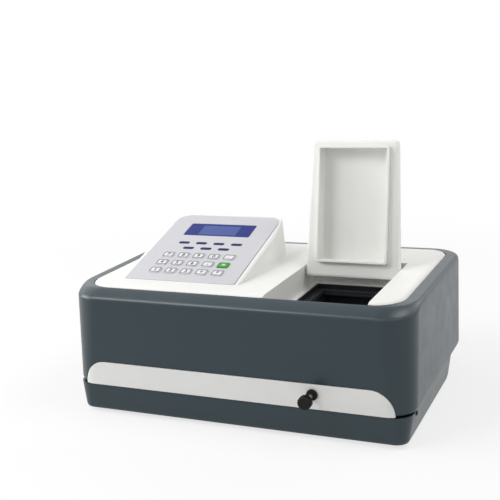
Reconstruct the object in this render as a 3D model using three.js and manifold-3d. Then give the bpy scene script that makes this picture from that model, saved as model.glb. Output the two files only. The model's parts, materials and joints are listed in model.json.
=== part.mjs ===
// Bench photometer with its sample lid open, as an assembly of separate pieces.
// Millimetres. The working frame has X to the right, Y to the back from the front face, Z up from the base.
// The exported group stands on its feet with its origin in the middle under the whole instrument.

import * as THREE from "three";
import { mergeVertices } from "three/addons/utils/BufferGeometryUtils.js";
import Module from "manifold-3d";

const wasm = await Module();
wasm.setup();

// Shared fits
const seatGap = 0.3;
const runGap = 0.3;
const overrun = 1;

// Case
const caseWidth = 460;
const caseDepth = 310;
const rimHeight = 166.2;
const partingHeight = 36;
const cornerRadius = 43;
const lowerCorner = 32;
const caseWall = 3;
const rimBand = 17;
const rimRise = 13.5;
const rimShares = [
  [0, 0.02, 0.11],
  [0, 0.06, 0.21],
  [0.002, 0.13, 0.31],
  [0.006, 0.23, 0.42],
  [0.015, 0.39, 0.57],
  [0.035, 0.58, 0.74],
  [0.125, 0.78, 0.89],
  [0.26, 0.9, 0.965],
  [1, 1, 1],
];
const rimRoofDrop = 3.5;
const rimLipWall = 3;
const lowerEdgeFillet = 6;
const lowerLip = 4;
const deckLedgeWidth = 13;
const deckLedgeWall = 2.5;
const deckLedgeDepth = 7.7;
const rearPostInset = 46;
const coverPostRadius = 6;
const coverPostTop = 120;
const coverPostHoleDepth = 18;
const coverGussetWall = 3;
const coverGussetFoot = 46;

// Base
const baseTopInset = 3;
const baseFootInset = 7.5;
const baseFrontTopInset = 1.6;
const baseFrontFootInset = 3;
const baseEdgeFillet = 4;
const baseFrontCorner = 24;
const baseRearCorner = 84;
const baseWall = 3;
const tubPostRadius = 7;
const footRadius = 11;
const footHeight = 5;
const footEdge = 1.2;
const footStudRadius = 2.5;
const footStudLength = 19;

// Deck (the white top)
const deckProud = 2.3;
const deckHeight = rimHeight + deckProud;
const deckCorner = 39;
const deckWall = 3;
const deckGap = 0.4;
const deckEdgeRise = 4.7;
const deckEdgeWidth = 8;

// Console slope
const consoleX = -90.5;
const consoleFootY = 54.2;
const consoleFootRise = 0.5;
const consoleFootZ = deckHeight + consoleFootRise;
const consoleSlope = THREE.MathUtils.degToRad(16);
const consoleHalfFront = 84.5;
const consoleHalfBend = 93;
const consoleHalfRear = 81.5;
const consoleBendY = 157;
const consoleRearY = 243;
const consoleRearRadius = 20;
const consoleBendRadius = 14;
const consoleFootRadius = 6;
const consoleDraft = 3;
const consoleTopHalf = 88;
const consoleTopLength = 188;
const consoleTopFillet = 5;
const consoleTopCorner = 22;

// Console fittings, on the slope
const overlayWidth = 160.4;
const overlayLength = 182;
const overlayThickness = 0.6;
const overlayTopCorner = 18;
const overlayFootCorner = 3;
const overlaySunk = 0.6;
const windowWidth = 101.5;
const windowLength = 34.4;
const windowThickness = 1.9;
const windowCentre = 139.8;
const windowSeatDepth = 2;
const windowSeatRim = 2.8;
const lcdWidth = 112;
const lcdLength = 46;
const lcdThickness = 8;
const lcdGlassWidth = 94;
const lcdGlassLength = 27;
const lcdGlassRise = 1;
const keyColumns = 5;
const keyRows = 3;
const keyPitchX = 22.9;
const keyPitchY = 20.5;
const keyWidth = 16;
const keyLength = 13;
const keyCorner = 2.4;
const keyEdge = 0.6;
const keyProud = 1;
const keyClearance = 0.4;
const keyTopRow = 65.5;
const keyFlange = 1.5;
const keyFlangeThickness = 1.2;
const keyStemRadius = 2.5;
const keyStemLength = 0.8;
const keyTravel = 1;
const keyStop = 0.1;
const switchSize = 6;
const switchHeight = 2;
const boardThickness = 1.6;
const keyBoardMargin = 16;
const keyPostRadius = 3;

// Front strip
const stripHalf = 209.7;
const stripTop = 68.5;
const stripThickness = 1.8;
const stripProud = 0.6;
const stripGap = 1;
const stripEndWidth = 29;
const stripReach = 20;

// Channel, compartment opening and lid
const channelX = 109.5;
const channelHalf = 66;
const channelRear = 205.5;
const channelWall = 3;
const channelFrontWall = 1.2;
const channelFrontDrop = 12.9;
const channelFrontTop = deckHeight - channelFrontDrop;
const channelDepth = 33.5;
const ledgeHeight = deckHeight - channelDepth;
const mouthHalf = 60.5;
const mouthFront = 24;
const mouthRear = 200;
const hingeY = 189.7;
const hingeDrop = 5.5;
const hingeZ = deckHeight - hingeDrop;
const lidOpenAngle = THREE.MathUtils.degToRad(100.5);
const lidHalfRear = 65.2;
const lidHalfFront = 58.5;
const lidTail = 13;
const lidReach = 169.7;
const lidUnder = 23.5;
const lidOver = 3.5;
const lidCorner = 5;
const lidCornerLeast = 1.6;
const lidWall = 2.6;
const lidUnderFillet = 4;
const lidSideCurve = 12;
const linerHalf = 48.5;
const linerRear = 8;
const linerFront = 162.2;
const linerProud = 7;
const linerDepth = 20;
const linerWall = 3;
const linerPostRadius = 3;
const linerPostInset = 14;
const pinRadius = 2;
const pinHoleGap = 0.3;
const pinRoot = 10;
const pinBossHalf = 5;
const pinBossDrop = 5;
const pinBossLength = 13;
const pinArmThickness = 3.5;
const pinArmReach = 13;
const pinArmTip = 4;
const padWidth = 3.8;
const padMargin = 0.9;
const padCorner = 1.5;

// Sample compartment
const tubFlangeHalf = 63.5;
const tubFlangeFront = 21;
const tubFlangeRear = 204;
const tubFlangeWall = 3;
const tubCollarGap = 0.4;
const tubCollarWall = 1.5;
const tubMouthHalf = 44;
const tubMouthFront = 33.5;
const tubMouthRear = 177.5;
const tubHalf = 44.5;
const tubFront = 28;
const tubRear = 196;
const tubFloor = 43;
const tubWall = 2.5;
const tubFloorWall = 3;
const sealWidth = 5;
const rodZ = 55.8;
const rodRadius = 3;
const rodHoleRadius = 3.6;
const beamZ = 76;
const beamHoleRadius = 6;
const cellPitch = 21;
const cellCount = 4;
const cellPocket = 13.2;
const pocketFloorZ = 60.5;
const carriageTop = 98;
const carriageBottom = 51;
const carriageHalf = 19;
const carriageWingHalf = 35;
const carriageWingTop = 64;
const carriageEndWall = 3.9;
const carriageRearGap = 6;
const carriageBeamHole = 4;
const railX = 28;
const railZ = 57.5;
const railRadius = 3;
const railBarWall = 3.5;
const railBarTop = 62;
const railBarMargin = 6;
const rodSocket = 11;
const knobRadius = 8.6;
const knobLength = 10;
const knobFront = -31;
const knobBore = 7;
const knobFlutes = 16;
const knobFluteSteps = 4;
const knobFluteDepth = 0.5;
const knobEdge = 1.2;
const bushFlangeRadius = 7.1;
const bushFlangeLength = 2.7;
const bushBarrelRadius = 5.5;
const bushBarrelLength = 8;

// Rear panel and what it carries
const panelLeft = -184;
const panelRight = 150;
const panelBottom = 42;
const panelTop = 130;
const panelWall = 1.6;
const panelLap = 10;
const rivetInset = 5;
const rivetRadius = 1.6;
const rivetHeadRadius = 3;
const rivetHeadHeight = 1.2;
const inletX = -145;
const inletZ = 86;
const inletFlangeWidth = 50;
const inletFlangeHeight = 28;
const inletFlangeWall = 2;
const inletBodyWidth = 28;
const inletBodyHeight = 20;
const inletBodyDepth = 22;
const inletWell = 16;
const inletWellWall = 2;
const inletPinWidth = 2;
const inletPinHeight = 4;
const inletPinPitch = 7;
const inletPinBack = 3.2;
const switchX = -100;
const switchWidth = 22;
const switchLength = 30;
const switchFlangeWall = 2;
const switchBodyDepth = 16;
const switchBezel = 3;
const rockerThickness = 9;
const rockerEdge = 2.2;
const rockerEndGap = 1.2;
const rockerTilt = THREE.MathUtils.degToRad(7);
const portX = -45;
const portWidth = 31;
const portHeight = 13;
const portDepth = 10;
const portShellWall = 1;
const portProud = 2.8;
const portFlangeWall = 1;
const portFlangeLap = 4;
const portWellDepth = 8;
const fanX = 95;
const fanZ = 86;
const fanSize = 60;
const fanThickness = 15;
const fanBore = 28;
const fanHubRadius = 11;
const fanHubPlate = 2;
const fanSpokes = 3;
const fanSpokeWidth = 3;
const fanBlades = 7;
const fanBladeGap = 1.2;
const fanBladeWall = 1.4;
const fanBladeDepth = 9;
const fanBladePitch = THREE.MathUtils.degToRad(36);
const rotorRecess = 3;
const fanSlots = 7;
const fanSlotHeight = 4;
const fanShaftRadius = 1.5;

// Optics and electronics inside
const monoLeft = -172;
const monoRight = 44;
const monoFront = 78;
const monoRear = 212;
const monoTop = 100;
const monoWall = 3;
const monoFloorWall = 5;
const gratingX = -70;
const gratingY = 125;
const armLength = 60;
const armZ = 42;
const armThickness = 5;
const armWidth = 5;
const rollerRadius = 4;
const rollerHeight = 12;
const tableRadius = 20;
const tableZ = 52;
const tableThickness = 5;
const spindleRadius = 5;
const gratingWidth = 32;
const gratingHeight = 34;
const gratingThickness = 8;
const screwOffset = 16;
const screwRadius = 4;
const screwGrooveDepth = 0.6;
const screwGroovePitch = 4;
const screwFrontY = 88;
const nutLength = 12;
const nutHalf = 7.5;
const nutBoreGap = 0.4;
const forkLength = 16;
const forkWall = 4;
const forkHeight = 8;
const motorPlateY = 172;
const motorPlateWall = 3;
const motorSize = 35;
const motorLength = 26;
const motorHoleRadius = 5;
const motorChamferShare = 0.75;
const bearingWall = 4;
const slitX = -35;
const slitRadius = 5;
const wheelRadius = 25;
const wheelHoleCircle = 17.5;
const wheelHoleRadius = 5;
const wheelHoles = 6;
const wheelThickness = 3;
const wheelHubRadius = 4;
const filterMotorRadius = 10;
const filterMotorLength = 18;
const filterShaftRadius = 1.5;
const mirrorWidth = 36;
const mirrorHeight = 34;
const mirrorThickness = 6;
const mirrorStandWidth = 20;
const mirrorFirstX = -48;
const mirrorSecondX = 0;
const mirrorY = 92;
const mirrorTurn = THREE.MathUtils.degToRad(24);
const mirrorFootWall = 3;
const mirrorFootMargin = 8;
const lampLeft = -88;
const lampRight = -14;
const lampFront = 222;
const lampRear = 284;
const lampTop = 104;
const lampWall = 2.5;
const lampSocketRadius = 9;
const lampSocketHeight = 58;
const lampBulbRadius = 6;
const lampBulbHeight = 26;
const lampY = 250;
const tubeOuter = 8;
const tubeInner = 5;
const detectorLeft = 168;
const detectorRight = 208;
const detectorHalf = 22;
const detectorTop = 98;
const detectorWall = 2.5;
const diodeRadius = 5;
const diodeLength = 6;
const detectorBoardX = 196;
const detectorBoardTop = 92;
const mainLeft = -172;
const mainRight = 30;
const mainFront = 20;
const mainRear = 70;
const mainStandoff = 8;
const mainStandoffRadius = 4;
const mainStandoffInset = 6;
const mainChipHeight = 5;
const mainChipSize = 18;
const mainChipPitch = 34;
const mainChips = 5;
const supplyLeft = -172;
const supplyRight = -98;
const supplyFront = 226;
const supplyRear = 284;
const supplyHeight = 42;
const supplyFins = 7;
const supplyFinWall = 2;
const supplyFinHeight = 6;

// Counts and fineness
const cornerSteps = 8;
const filletSteps = 4;
const smallCornerSteps = 3;
const roundSides = 24;
const smallRoundSides = 16;
const half = 0.5;
const quarterTurn = Math.PI / 2;
const fullTurn = Math.PI * 2;

// Finishes
const finishes = {
  slate: { color: 0x3f4950, roughness: 0.42, metalness: 0.05 },
  white: { color: 0xf0f0ee, roughness: 0.45, metalness: 0 },
  film: { color: 0xdcdde3, roughness: 0.5, metalness: 0 },
  strip: { color: 0xdededc, roughness: 0.5, metalness: 0 },
  windowBlue: { color: 0x2f4a94, roughness: 0.15, metalness: 0 },
  key: { color: 0xe4e5ea, roughness: 0.5, metalness: 0 },
  greenKey: { color: 0x5fae4f, roughness: 0.5, metalness: 0 },
  blackPlastic: { color: 0x17191d, roughness: 0.55, metalness: 0 },
  rubber: { color: 0x202020, roughness: 0.9, metalness: 0 },
  foam: { color: 0x101113, roughness: 1, metalness: 0 },
  steel: { color: 0xb8babb, roughness: 0.3, metalness: 1 },
  castMetal: { color: 0x6f7375, roughness: 0.5, metalness: 0.8 },
  sheetMetal: { color: 0xc4c7c8, roughness: 0.4, metalness: 0.9 },
  brass: { color: 0xb89a55, roughness: 0.35, metalness: 1 },
  glass: { color: 0xbfd3df, roughness: 0.05, metalness: 0 },
  board: { color: 0x1f5a3a, roughness: 0.5, metalness: 0 },
};

// Helpers: points, rings and solids

function arcPoints(centreX, centreY, radius, fromAngle, toAngle, steps) {
  const points = [];
  for (let i = 0; i <= steps; i += 1) {
    const angle = fromAngle + ((toAngle - fromAngle) * i) / steps;
    points.push(new THREE.Vector2(centreX + radius * Math.cos(angle), centreY + radius * Math.sin(angle)));
  }
  return points;
}

// Outline of a convex polygon, counter-clockwise, with a round corner at each of its points.
function roundedPolygon(corners, steps) {
  const points = [];
  corners.forEach((corner, i) => {
    const before = corners[(i + corners.length - 1) % corners.length];
    const after = corners[(i + 1) % corners.length];
    const here = new THREE.Vector2(corner.x, corner.y);
    const back = new THREE.Vector2(before.x, before.y).sub(here).normalize();
    const ahead = new THREE.Vector2(after.x, after.y).sub(here).normalize();
    const halfAngle = Math.acos(THREE.MathUtils.clamp(back.dot(ahead), -1, 1)) / 2;
    const middle = back.clone().add(ahead).normalize();
    const centre = here.clone().add(middle.multiplyScalar(corner.radius / Math.sin(halfAngle)));
    const start = Math.atan2(-back.x, back.y) + Math.PI;
    const turn = Math.PI - 2 * halfAngle;
    points.push(...arcPoints(centre.x, centre.y, corner.radius, start, start + turn, steps));
  });
  return points;
}

function roundedRectangle(x0, x1, y0, y1, radius, steps = smallCornerSteps) {
  return roundedPolygon([
    { x: x0, y: y0, radius },
    { x: x1, y: y0, radius },
    { x: x1, y: y1, radius },
    { x: x0, y: y1, radius },
  ], steps);
}

function solidOf(geometry) {
  geometry.deleteAttribute("normal");
  geometry.deleteAttribute("uv");
  const welded = mergeVertices(geometry);
  const vertProperties = new Float32Array(welded.attributes.position.array);
  const triVerts = new Uint32Array(welded.index.array);
  return new wasm.Manifold(new wasm.Mesh({ numProp: 3, vertProperties, triVerts }));
}

// Solid through a stack of outlines of equal length, each { points, z }.
function loft(levels) {
  const count = levels[0].points.length;
  const positions = [];
  const index = [];
  levels.forEach((level) => level.points.forEach((p) => positions.push(p.x, p.y, level.z)));
  for (let k = 0; k + 1 < levels.length; k += 1) {
    for (let i = 0; i < count; i += 1) {
      const next = (i + 1) % count;
      const a = k * count + i;
      const b = k * count + next;
      index.push(a, b, b + count, a, b + count, a + count);
    }
  }
  const top = (levels.length - 1) * count;
  THREE.ShapeUtils.triangulateShape(levels[0].points, []).forEach(([a, b, c]) => index.push(a, c, b));
  const cap = levels[levels.length - 1].points;
  THREE.ShapeUtils.triangulateShape(cap, []).forEach(([a, b, c]) => index.push(top + a, top + b, top + c));
  const geometry = new THREE.BufferGeometry();
  geometry.setAttribute("position", new THREE.Float32BufferAttribute(positions, 3));
  geometry.setIndex(index);
  return solidOf(geometry);
}

function prism(points, z0, z1) {
  return loft([{ points, z: z0 }, { points, z: z1 }]);
}

function block(x0, x1, y0, y1, z0, z1) {
  const geometry = new THREE.BoxGeometry(x1 - x0, y1 - y0, z1 - z0);
  geometry.translate((x0 + x1) / 2, (y0 + y1) / 2, (z0 + z1) / 2);
  return solidOf(geometry);
}

// Round bar along X, Y or Z from one coordinate to another; at holds its other two coordinates in order.
function bar(axis, radius, from, to, at, sides = roundSides) {
  const geometry = new THREE.CylinderGeometry(radius, radius, to - from, sides);
  const middle = (from + to) / 2;
  if (axis === "x") {
    geometry.rotateZ(-quarterTurn);
    geometry.translate(middle, at[0], at[1]);
  } else if (axis === "y") {
    geometry.translate(at[0], middle, at[1]);
  } else {
    geometry.rotateX(quarterTurn);
    geometry.translate(at[0], at[1], middle);
  }
  return solidOf(geometry);
}

// Turned solid about Z from a profile of [radius, z] pairs that starts and ends on the axis.
function turned(profile, sides = roundSides) {
  const geometry = new THREE.LatheGeometry(profile.map(([r, z]) => new THREE.Vector2(r, z)), sides);
  geometry.rotateX(quarterTurn);
  return solidOf(geometry);
}

function moved(solid, x, y, z) {
  return solid.translate([x, y, z]);
}

function turnedBy(solid, matrix) {
  return solid.transform(matrix.elements);
}

function joined(solids) {
  return solids.reduce((whole, next) => whole.add(next));
}

function cut(solid, tools) {
  return tools.reduce((whole, tool) => whole.subtract(tool), solid);
}

function addPiece(group, name, solid, finish) {
  const data = solid.getMesh();
  const geometry = new THREE.BufferGeometry();
  geometry.setAttribute("position", new THREE.BufferAttribute(data.vertProperties, 3));
  geometry.setIndex(new THREE.BufferAttribute(data.triVerts, 1));
  geometry.computeVertexNormals();
  const mesh = new THREE.Mesh(geometry, new THREE.MeshStandardMaterial(finishes[finish]));
  mesh.name = name;
  group.add(mesh);
  return mesh;
}

// Outline of the case, drawn in by an inset at the sides and the rear and by another at the front.
// Its corner radii are those of the outline before it is drawn in.
function caseOutline(inset, frontInset, frontCorner, rearCorner) {
  const x = caseWidth / 2 - inset;
  const rearY = caseDepth - inset;
  return roundedPolygon([
    { x: -x, y: frontInset, radius: frontCorner - inset },
    { x, y: frontInset, radius: frontCorner - inset },
    { x, y: rearY, radius: rearCorner - inset },
    { x: -x, y: rearY, radius: rearCorner - inset },
  ], cornerSteps);
}

const rimFootZ = rimHeight - rimRise;

// Level of the cover's upright wall, whose front corners tighten from the rim down to the parting line.
function wallLevel(inset, z) {
  const share = (z - partingHeight) / (rimFootZ - partingHeight);
  const corner = THREE.MathUtils.lerp(lowerCorner, cornerRadius, share);
  return { points: caseOutline(inset, inset, corner, cornerRadius), z };
}

// Level of the rim from the wall's edge to the deck, by its shares across the sides, across the front
// and up. The front slopes, and the sides and the rear turn over a tighter edge to a nearly level band.
function rimLevel([sideAcross, frontAcross, up], wallInset, drop) {
  const inset = THREE.MathUtils.lerp(wallInset, rimBand, sideAcross);
  const frontInset = THREE.MathUtils.lerp(wallInset, rimBand, frontAcross);
  const corner = THREE.MathUtils.lerp(cornerRadius, deckCorner + rimBand,
    (sideAcross + frontAcross) * half);
  return {
    points: caseOutline(inset, frontInset, corner, cornerRadius),
    z: rimFootZ + (rimRise - drop) * up,
  };
}

function deckOutline(inset) {
  return caseOutline(inset, inset, deckCorner + rimBand, cornerRadius);
}

function deckLevel(inset, z) {
  return { points: deckOutline(inset), z };
}

function baseLevel(inset, z, frontInset) {
  return { points: caseOutline(inset, frontInset, baseFrontCorner, baseRearCorner), z };
}

// Levels of a round edge that rises by height while it draws in by width.
function edgeLevels(level, startInset, startZ, width, height, steps) {
  const levels = [];
  for (let i = 0; i <= steps; i += 1) {
    const angle = (quarterTurn * i) / steps;
    levels.push(level(startInset + width * (1 - Math.cos(angle)), startZ + height * Math.sin(angle)));
  }
  return levels;
}

// Places of the four cover posts and of the feet under them.
function cornerPlaces() {
  const frontX = caseWidth / 2 - cornerRadius;
  const rearX = caseWidth / 2 - rearPostInset;
  const rearY = caseDepth - rearPostInset;
  return [
    { name: "foot_front_left", x: -frontX, y: cornerRadius, sideX: -1, sideY: -1 },
    { name: "foot_front_right", x: frontX, y: cornerRadius, sideX: 1, sideY: -1 },
    { name: "foot_rear_left", x: -rearX, y: rearY, sideX: -1, sideY: 1 },
    { name: "foot_rear_right", x: rearX, y: rearY, sideX: 1, sideY: 1 },
  ];
}

// Base

const baseTop = partingHeight - seatGap;
const floorZ = baseWall;
const standZ = floorZ + seatGap;
const tubBottom = tubFloor - tubFloorWall;

function baseTray() {
  const foot = baseFootInset + baseEdgeFillet;
  const rounded = 1 - Math.SQRT1_2;
  const mid = baseFootInset + baseEdgeFillet * rounded;
  const frontShift = baseFrontFootInset - baseFootInset;
  const outer = loft([
    baseLevel(foot, 0, foot + frontShift),
    baseLevel(mid, baseEdgeFillet * rounded, mid + frontShift),
    baseLevel(baseFootInset, baseEdgeFillet, baseFrontFootInset),
    baseLevel(baseTopInset, baseTop, baseFrontTopInset),
  ]);
  const inner = loft([
    baseLevel(baseFootInset + baseWall, floorZ, baseFrontFootInset + baseWall),
    baseLevel(baseTopInset + baseWall, baseTop + overrun, baseFrontTopInset + baseWall),
  ]);
  const tubPosts = [-1, 1].flatMap((side) => [tubFront, tubRear].map((y) => bar("z", tubPostRadius,
    floorZ - overrun, tubBottom - seatGap,
    [channelX + side * (tubHalf - tubPostRadius), y + Math.sign(tubRear / 2 - y) * tubPostRadius],
    smallRoundSides)));
  const studHoles = cornerPlaces().map(({ x, y }) => bar("z", footStudRadius + runGap, -overrun,
    floorZ + overrun, [x, y], smallRoundSides));
  return cut(joined([outer.subtract(inner), ...tubPosts]), studHoles);
}

// Rubber foot moulded round a stud that screws up through the base into the cover's post.
function foot({ x, y }) {
  const soleTop = -seatGap;
  const profile = [
    [0, -footHeight],
    [footRadius - footEdge, -footHeight],
    [footRadius, footEdge - footHeight],
    [footRadius, soleTop],
    [footStudRadius, soleTop],
    [footStudRadius, footStudLength],
    [0, footStudLength],
  ];
  return moved(turned(profile, smallRoundSides), x, y, 0);
}

// Case cover

const deckSeatZ = rimHeight - deckLedgeDepth;
const ledgeBottomZ = deckSeatZ - deckLedgeWall;
const ledgeInset = rimBand + deckLedgeWidth;
const rearInnerY = caseDepth - caseWall;

function coverShell() {
  const lowerRounded = lowerEdgeFillet * (1 - Math.SQRT1_2);
  const outer = loft([
    wallLevel(lowerEdgeFillet, partingHeight),
    wallLevel(lowerRounded, partingHeight + lowerRounded),
    wallLevel(0, partingHeight + lowerEdgeFillet),
    wallLevel(0, rimFootZ),
    ...rimShares.map((shares) => rimLevel(shares, 0, 0)),
  ]);
  const lowerMouth = lowerEdgeFillet + lowerLip;
  const lipTop = partingHeight + caseWall;
  const room = loft([
    wallLevel(lowerEdgeFillet, lipTop),
    wallLevel(caseWall, lipTop + lowerEdgeFillet * half),
    wallLevel(caseWall, ledgeBottomZ),
  ]);
  const rimRoom = loft([
    wallLevel(caseWall, rimFootZ - 2 * overrun),
    wallLevel(caseWall, rimFootZ),
    ...rimShares.map((shares) => rimLevel(shares, caseWall, rimRoofDrop)),
  ]).subtract(prism(deckOutline(rimBand - rimLipWall), ledgeBottomZ - 3 * overrun, rimHeight));
  return cut(outer, [
    prism(baseLevel(lowerMouth, 0, lowerMouth).points, partingHeight - overrun, lipTop + overrun),
    room,
    rimRoom,
    prism(deckOutline(ledgeInset), ledgeBottomZ - overrun, deckSeatZ + overrun),
    prism(deckOutline(rimBand), deckSeatZ, rimHeight + overrun),
  ]);
}

// Posts that the feet screw into, each with a web that ends in the wall of its corner.
function coverPosts() {
  const withinWall = loft([
    wallLevel(caseWall * half, coverGussetFoot - overrun),
    wallLevel(caseWall * half, coverPostTop + overrun),
  ]);
  return cornerPlaces().flatMap(({ x, y, sideX, sideY }) => {
    const web = block(0, 2 * cornerRadius, -coverGussetWall / 2, coverGussetWall / 2, coverGussetFoot,
      coverPostTop);
    const place = new THREE.Matrix4().makeRotationZ(Math.atan2(sideY, sideX)).setPosition(x, y, 0);
    return [
      bar("z", coverPostRadius, standZ, coverPostTop, [x, y], smallRoundSides),
      turnedBy(web, place).intersect(withinWall),
    ];
  });
}

// Front view of the strip: straight foot, straight top and quarter-round ends.
function stripShape(grow) {
  const foot = partingHeight + stripGap - grow;
  const rise = stripTop + grow - foot;
  const endWidth = stripEndWidth + grow;
  const straight = stripHalf - stripEndWidth;
  const ends = 2 * cornerSteps;
  const points = [];
  for (let i = 0; i <= ends; i += 1) {
    const angle = (quarterTurn * i) / ends;
    points.push(new THREE.Vector2(straight + endWidth * Math.cos(angle), foot + rise * Math.sin(angle)));
  }
  const mirrored = points.map((p) => new THREE.Vector2(-p.x, p.y)).reverse();
  return [...points, ...mirrored];
}

// The front view pushed back along Y as a cutter.
function stripCutter(grow, frontY, rearY) {
  const points = stripShape(grow);
  const upright = new THREE.Matrix4().makeRotationX(quarterTurn).setPosition(0, rearY, 0);
  return turnedBy(prism(points, 0, rearY - frontY), upright);
}

// Layer of the upright wall between two insets.
function wallBand(outerInset, innerInset) {
  const outer = loft([wallLevel(outerInset, 0), wallLevel(outerInset, rimFootZ)]);
  const inner = loft([wallLevel(innerInset, -overrun), wallLevel(innerInset, rimFootZ + overrun)]);
  return outer.subtract(inner);
}

function frontStrip() {
  const band = wallBand(-stripProud, stripThickness - stripProud);
  const shaped = band.intersect(stripCutter(0, -stripReach, stripReach));
  return shaped.subtract(rodHole(bushBarrelRadius + runGap));
}

function rodHole(radius) {
  return bar("y", radius, -stripReach, stripReach, [channelX, rodZ]);
}

function caseCover() {
  const stripBed = wallBand(-overrun, stripThickness - stripProud + seatGap)
    .intersect(stripCutter(stripGap, -stripReach, stripReach));
  const channelNotch = block(channelX - channelHalf - channelWall - deckGap,
    channelX + channelHalf + channelWall + deckGap, rimBand, ledgeInset + overrun,
    ledgeBottomZ - overrun, deckSeatZ + overrun);
  const rearWindow = block(panelLeft + panelLap, panelRight - panelLap, rearInnerY - overrun,
    caseDepth + overrun, panelBottom + panelLap, panelTop - panelLap);
  const postHoles = cornerPlaces().map(({ x, y }) => bar("z", footStudRadius + runGap,
    standZ - overrun, standZ + coverPostHoleDepth, [x, y], smallRoundSides));
  const rivetHoles = rivetPlaces().map(({ x, z }) => bar("y", rivetRadius + runGap,
    rearInnerY - overrun, caseDepth + overrun, [x, z], smallRoundSides));
  return cut(joined([coverShell(), ...coverPosts()]), [
    stripBed, rodHole(bushBarrelRadius + runGap), channelNotch, rearWindow, ...postHoles, ...rivetHoles,
  ]);
}

// Deck with its console and channel

const slopeFrame = new THREE.Matrix4().makeRotationX(consoleSlope)
  .setPosition(consoleX, consoleFootY, consoleFootZ);

function consolePlan(inset, z) {
  const front = consoleHalfFront - inset;
  const bend = consoleHalfBend - inset;
  const rear = consoleHalfRear - inset;
  const rearY = consoleRearY - inset;
  const corners = [
    { x: -front, y: consoleFootY - deckWall, radius: consoleFootRadius },
    { x: front, y: consoleFootY - deckWall, radius: consoleFootRadius },
    { x: bend, y: consoleBendY, radius: consoleBendRadius },
    { x: rear, y: rearY, radius: consoleRearRadius - inset * half },
    { x: -rear, y: rearY, radius: consoleRearRadius - inset * half },
    { x: -bend, y: consoleBendY, radius: consoleBendRadius },
  ].map((corner) => ({ ...corner, x: corner.x + consoleX }));
  return { points: roundedPolygon(corners, filletSteps), z };
}

const consolePeakZ = consoleFootZ + consoleTopLength * Math.sin(consoleSlope);

function slopeTopLevel(inset, z) {
  const cornerX = consoleTopHalf - inset;
  const far = consoleTopLength - inset;
  const corners = [
    { x: -cornerX, y: -consoleTopCorner - deckWall, radius: consoleFootRadius },
    { x: cornerX, y: -consoleTopCorner - deckWall, radius: consoleFootRadius },
    { x: cornerX, y: far, radius: consoleTopCorner - inset },
    { x: -cornerX, y: far, radius: consoleTopCorner - inset },
  ];
  return { points: roundedPolygon(corners, cornerSteps), z };
}

// The console as a solid block, drawn in all over by an inset.
function consoleBlock(inset, bottomZ) {
  const depth = consoleTopLength;
  const plan = loft([
    consolePlan(inset, bottomZ),
    consolePlan(inset, deckHeight),
    consolePlan(inset + consoleDraft, consolePeakZ + consoleTopFillet),
  ]);
  const top = loft([
    slopeTopLevel(inset - consoleDraft, -depth),
    slopeTopLevel(inset - consoleDraft, -depth / 2),
    ...edgeLevels(slopeTopLevel, inset, -consoleTopFillet - inset, consoleTopFillet, consoleTopFillet,
      filletSteps),
  ]);
  return plan.intersect(turnedBy(top, slopeFrame));
}

function onSlope(solid) {
  return turnedBy(solid, slopeFrame);
}

function keyPlaces() {
  const places = [];
  for (let row = 0; row < keyRows; row += 1) {
    for (let column = 0; column < keyColumns; column += 1) {
      places.push({
        name: `key_${row + 1}_${column + 1}`,
        x: (column - (keyColumns - 1) / 2) * keyPitchX,
        y: keyTopRow - row * keyPitchY,
      });
    }
  }
  return places;
}

function plate(halfWidth, y0, y1, radius, z0, z1) {
  return prism(roundedRectangle(-halfWidth, halfWidth, y0, y1, radius), z0, z1);
}

function overlayPlate(grow, z0, z1) {
  const cornerX = overlayWidth / 2 + grow;
  const far = overlayLength + grow;
  const corners = [
    { x: -cornerX, y: -grow, radius: overlayFootCorner },
    { x: cornerX, y: -grow, radius: overlayFootCorner },
    { x: cornerX, y: far, radius: overlayTopCorner + grow },
    { x: -cornerX, y: far, radius: overlayTopCorner + grow },
  ];
  return prism(roundedPolygon(corners, cornerSteps), z0, z1);
}

const overlayBottom = seatGap - overlaySunk;
const overlayTop = overlayBottom + overlayThickness;
const windowFoot = windowCentre - windowLength / 2;
const windowHead = windowCentre + windowLength / 2;
const plateUnder = -deckWall;
const keyFlangeTop = plateUnder - runGap;
const keyFlangeBottom = keyFlangeTop - keyFlangeThickness;
const keyStemBottom = keyFlangeBottom - keyStemLength;
const switchTop = keyStemBottom - keyTravel - keyStop;
const keyBoardTop = switchTop - switchHeight;
const keyFieldHalf = ((keyColumns - 1) / 2) * keyPitchX + keyBoardMargin;
const keyFieldFoot = keyTopRow - (keyRows - 1) * keyPitchY - keyBoardMargin * half;
const keyFieldHead = keyTopRow + keyBoardMargin;

function keyPostPlaces() {
  const x = keyFieldHalf - keyPostRadius;
  return [-x, x].flatMap((px) => [keyFieldFoot + keyPostRadius, keyFieldHead - keyPostRadius]
    .map((py) => [px, py]));
}

function slopeCuts() {
  const keyHoles = keyPlaces().map(({ x, y }) => moved(
    plate(keyWidth / 2 + keyClearance, -keyLength / 2 - keyClearance, keyLength / 2 + keyClearance,
      keyCorner, -deckWall - overrun, overrun), x, y, 0));
  const seatGrow = runGap;
  return [
    overlayPlate(keyClearance, -overlaySunk, overrun),
    ...keyHoles,
    plate(windowWidth / 2 + seatGrow, windowFoot - seatGrow, windowHead + seatGrow, keyCorner,
      -windowSeatDepth, overrun),
    plate(windowWidth / 2 - windowSeatRim, windowFoot + windowSeatRim, windowHead - windowSeatRim,
      keyCorner, -deckWall - overrun, overrun),
  ].map(onSlope);
}

const deckInset = rimBand + deckGap;
const channelLeft = channelX - channelHalf;
const channelRight = channelX + channelHalf;

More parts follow.
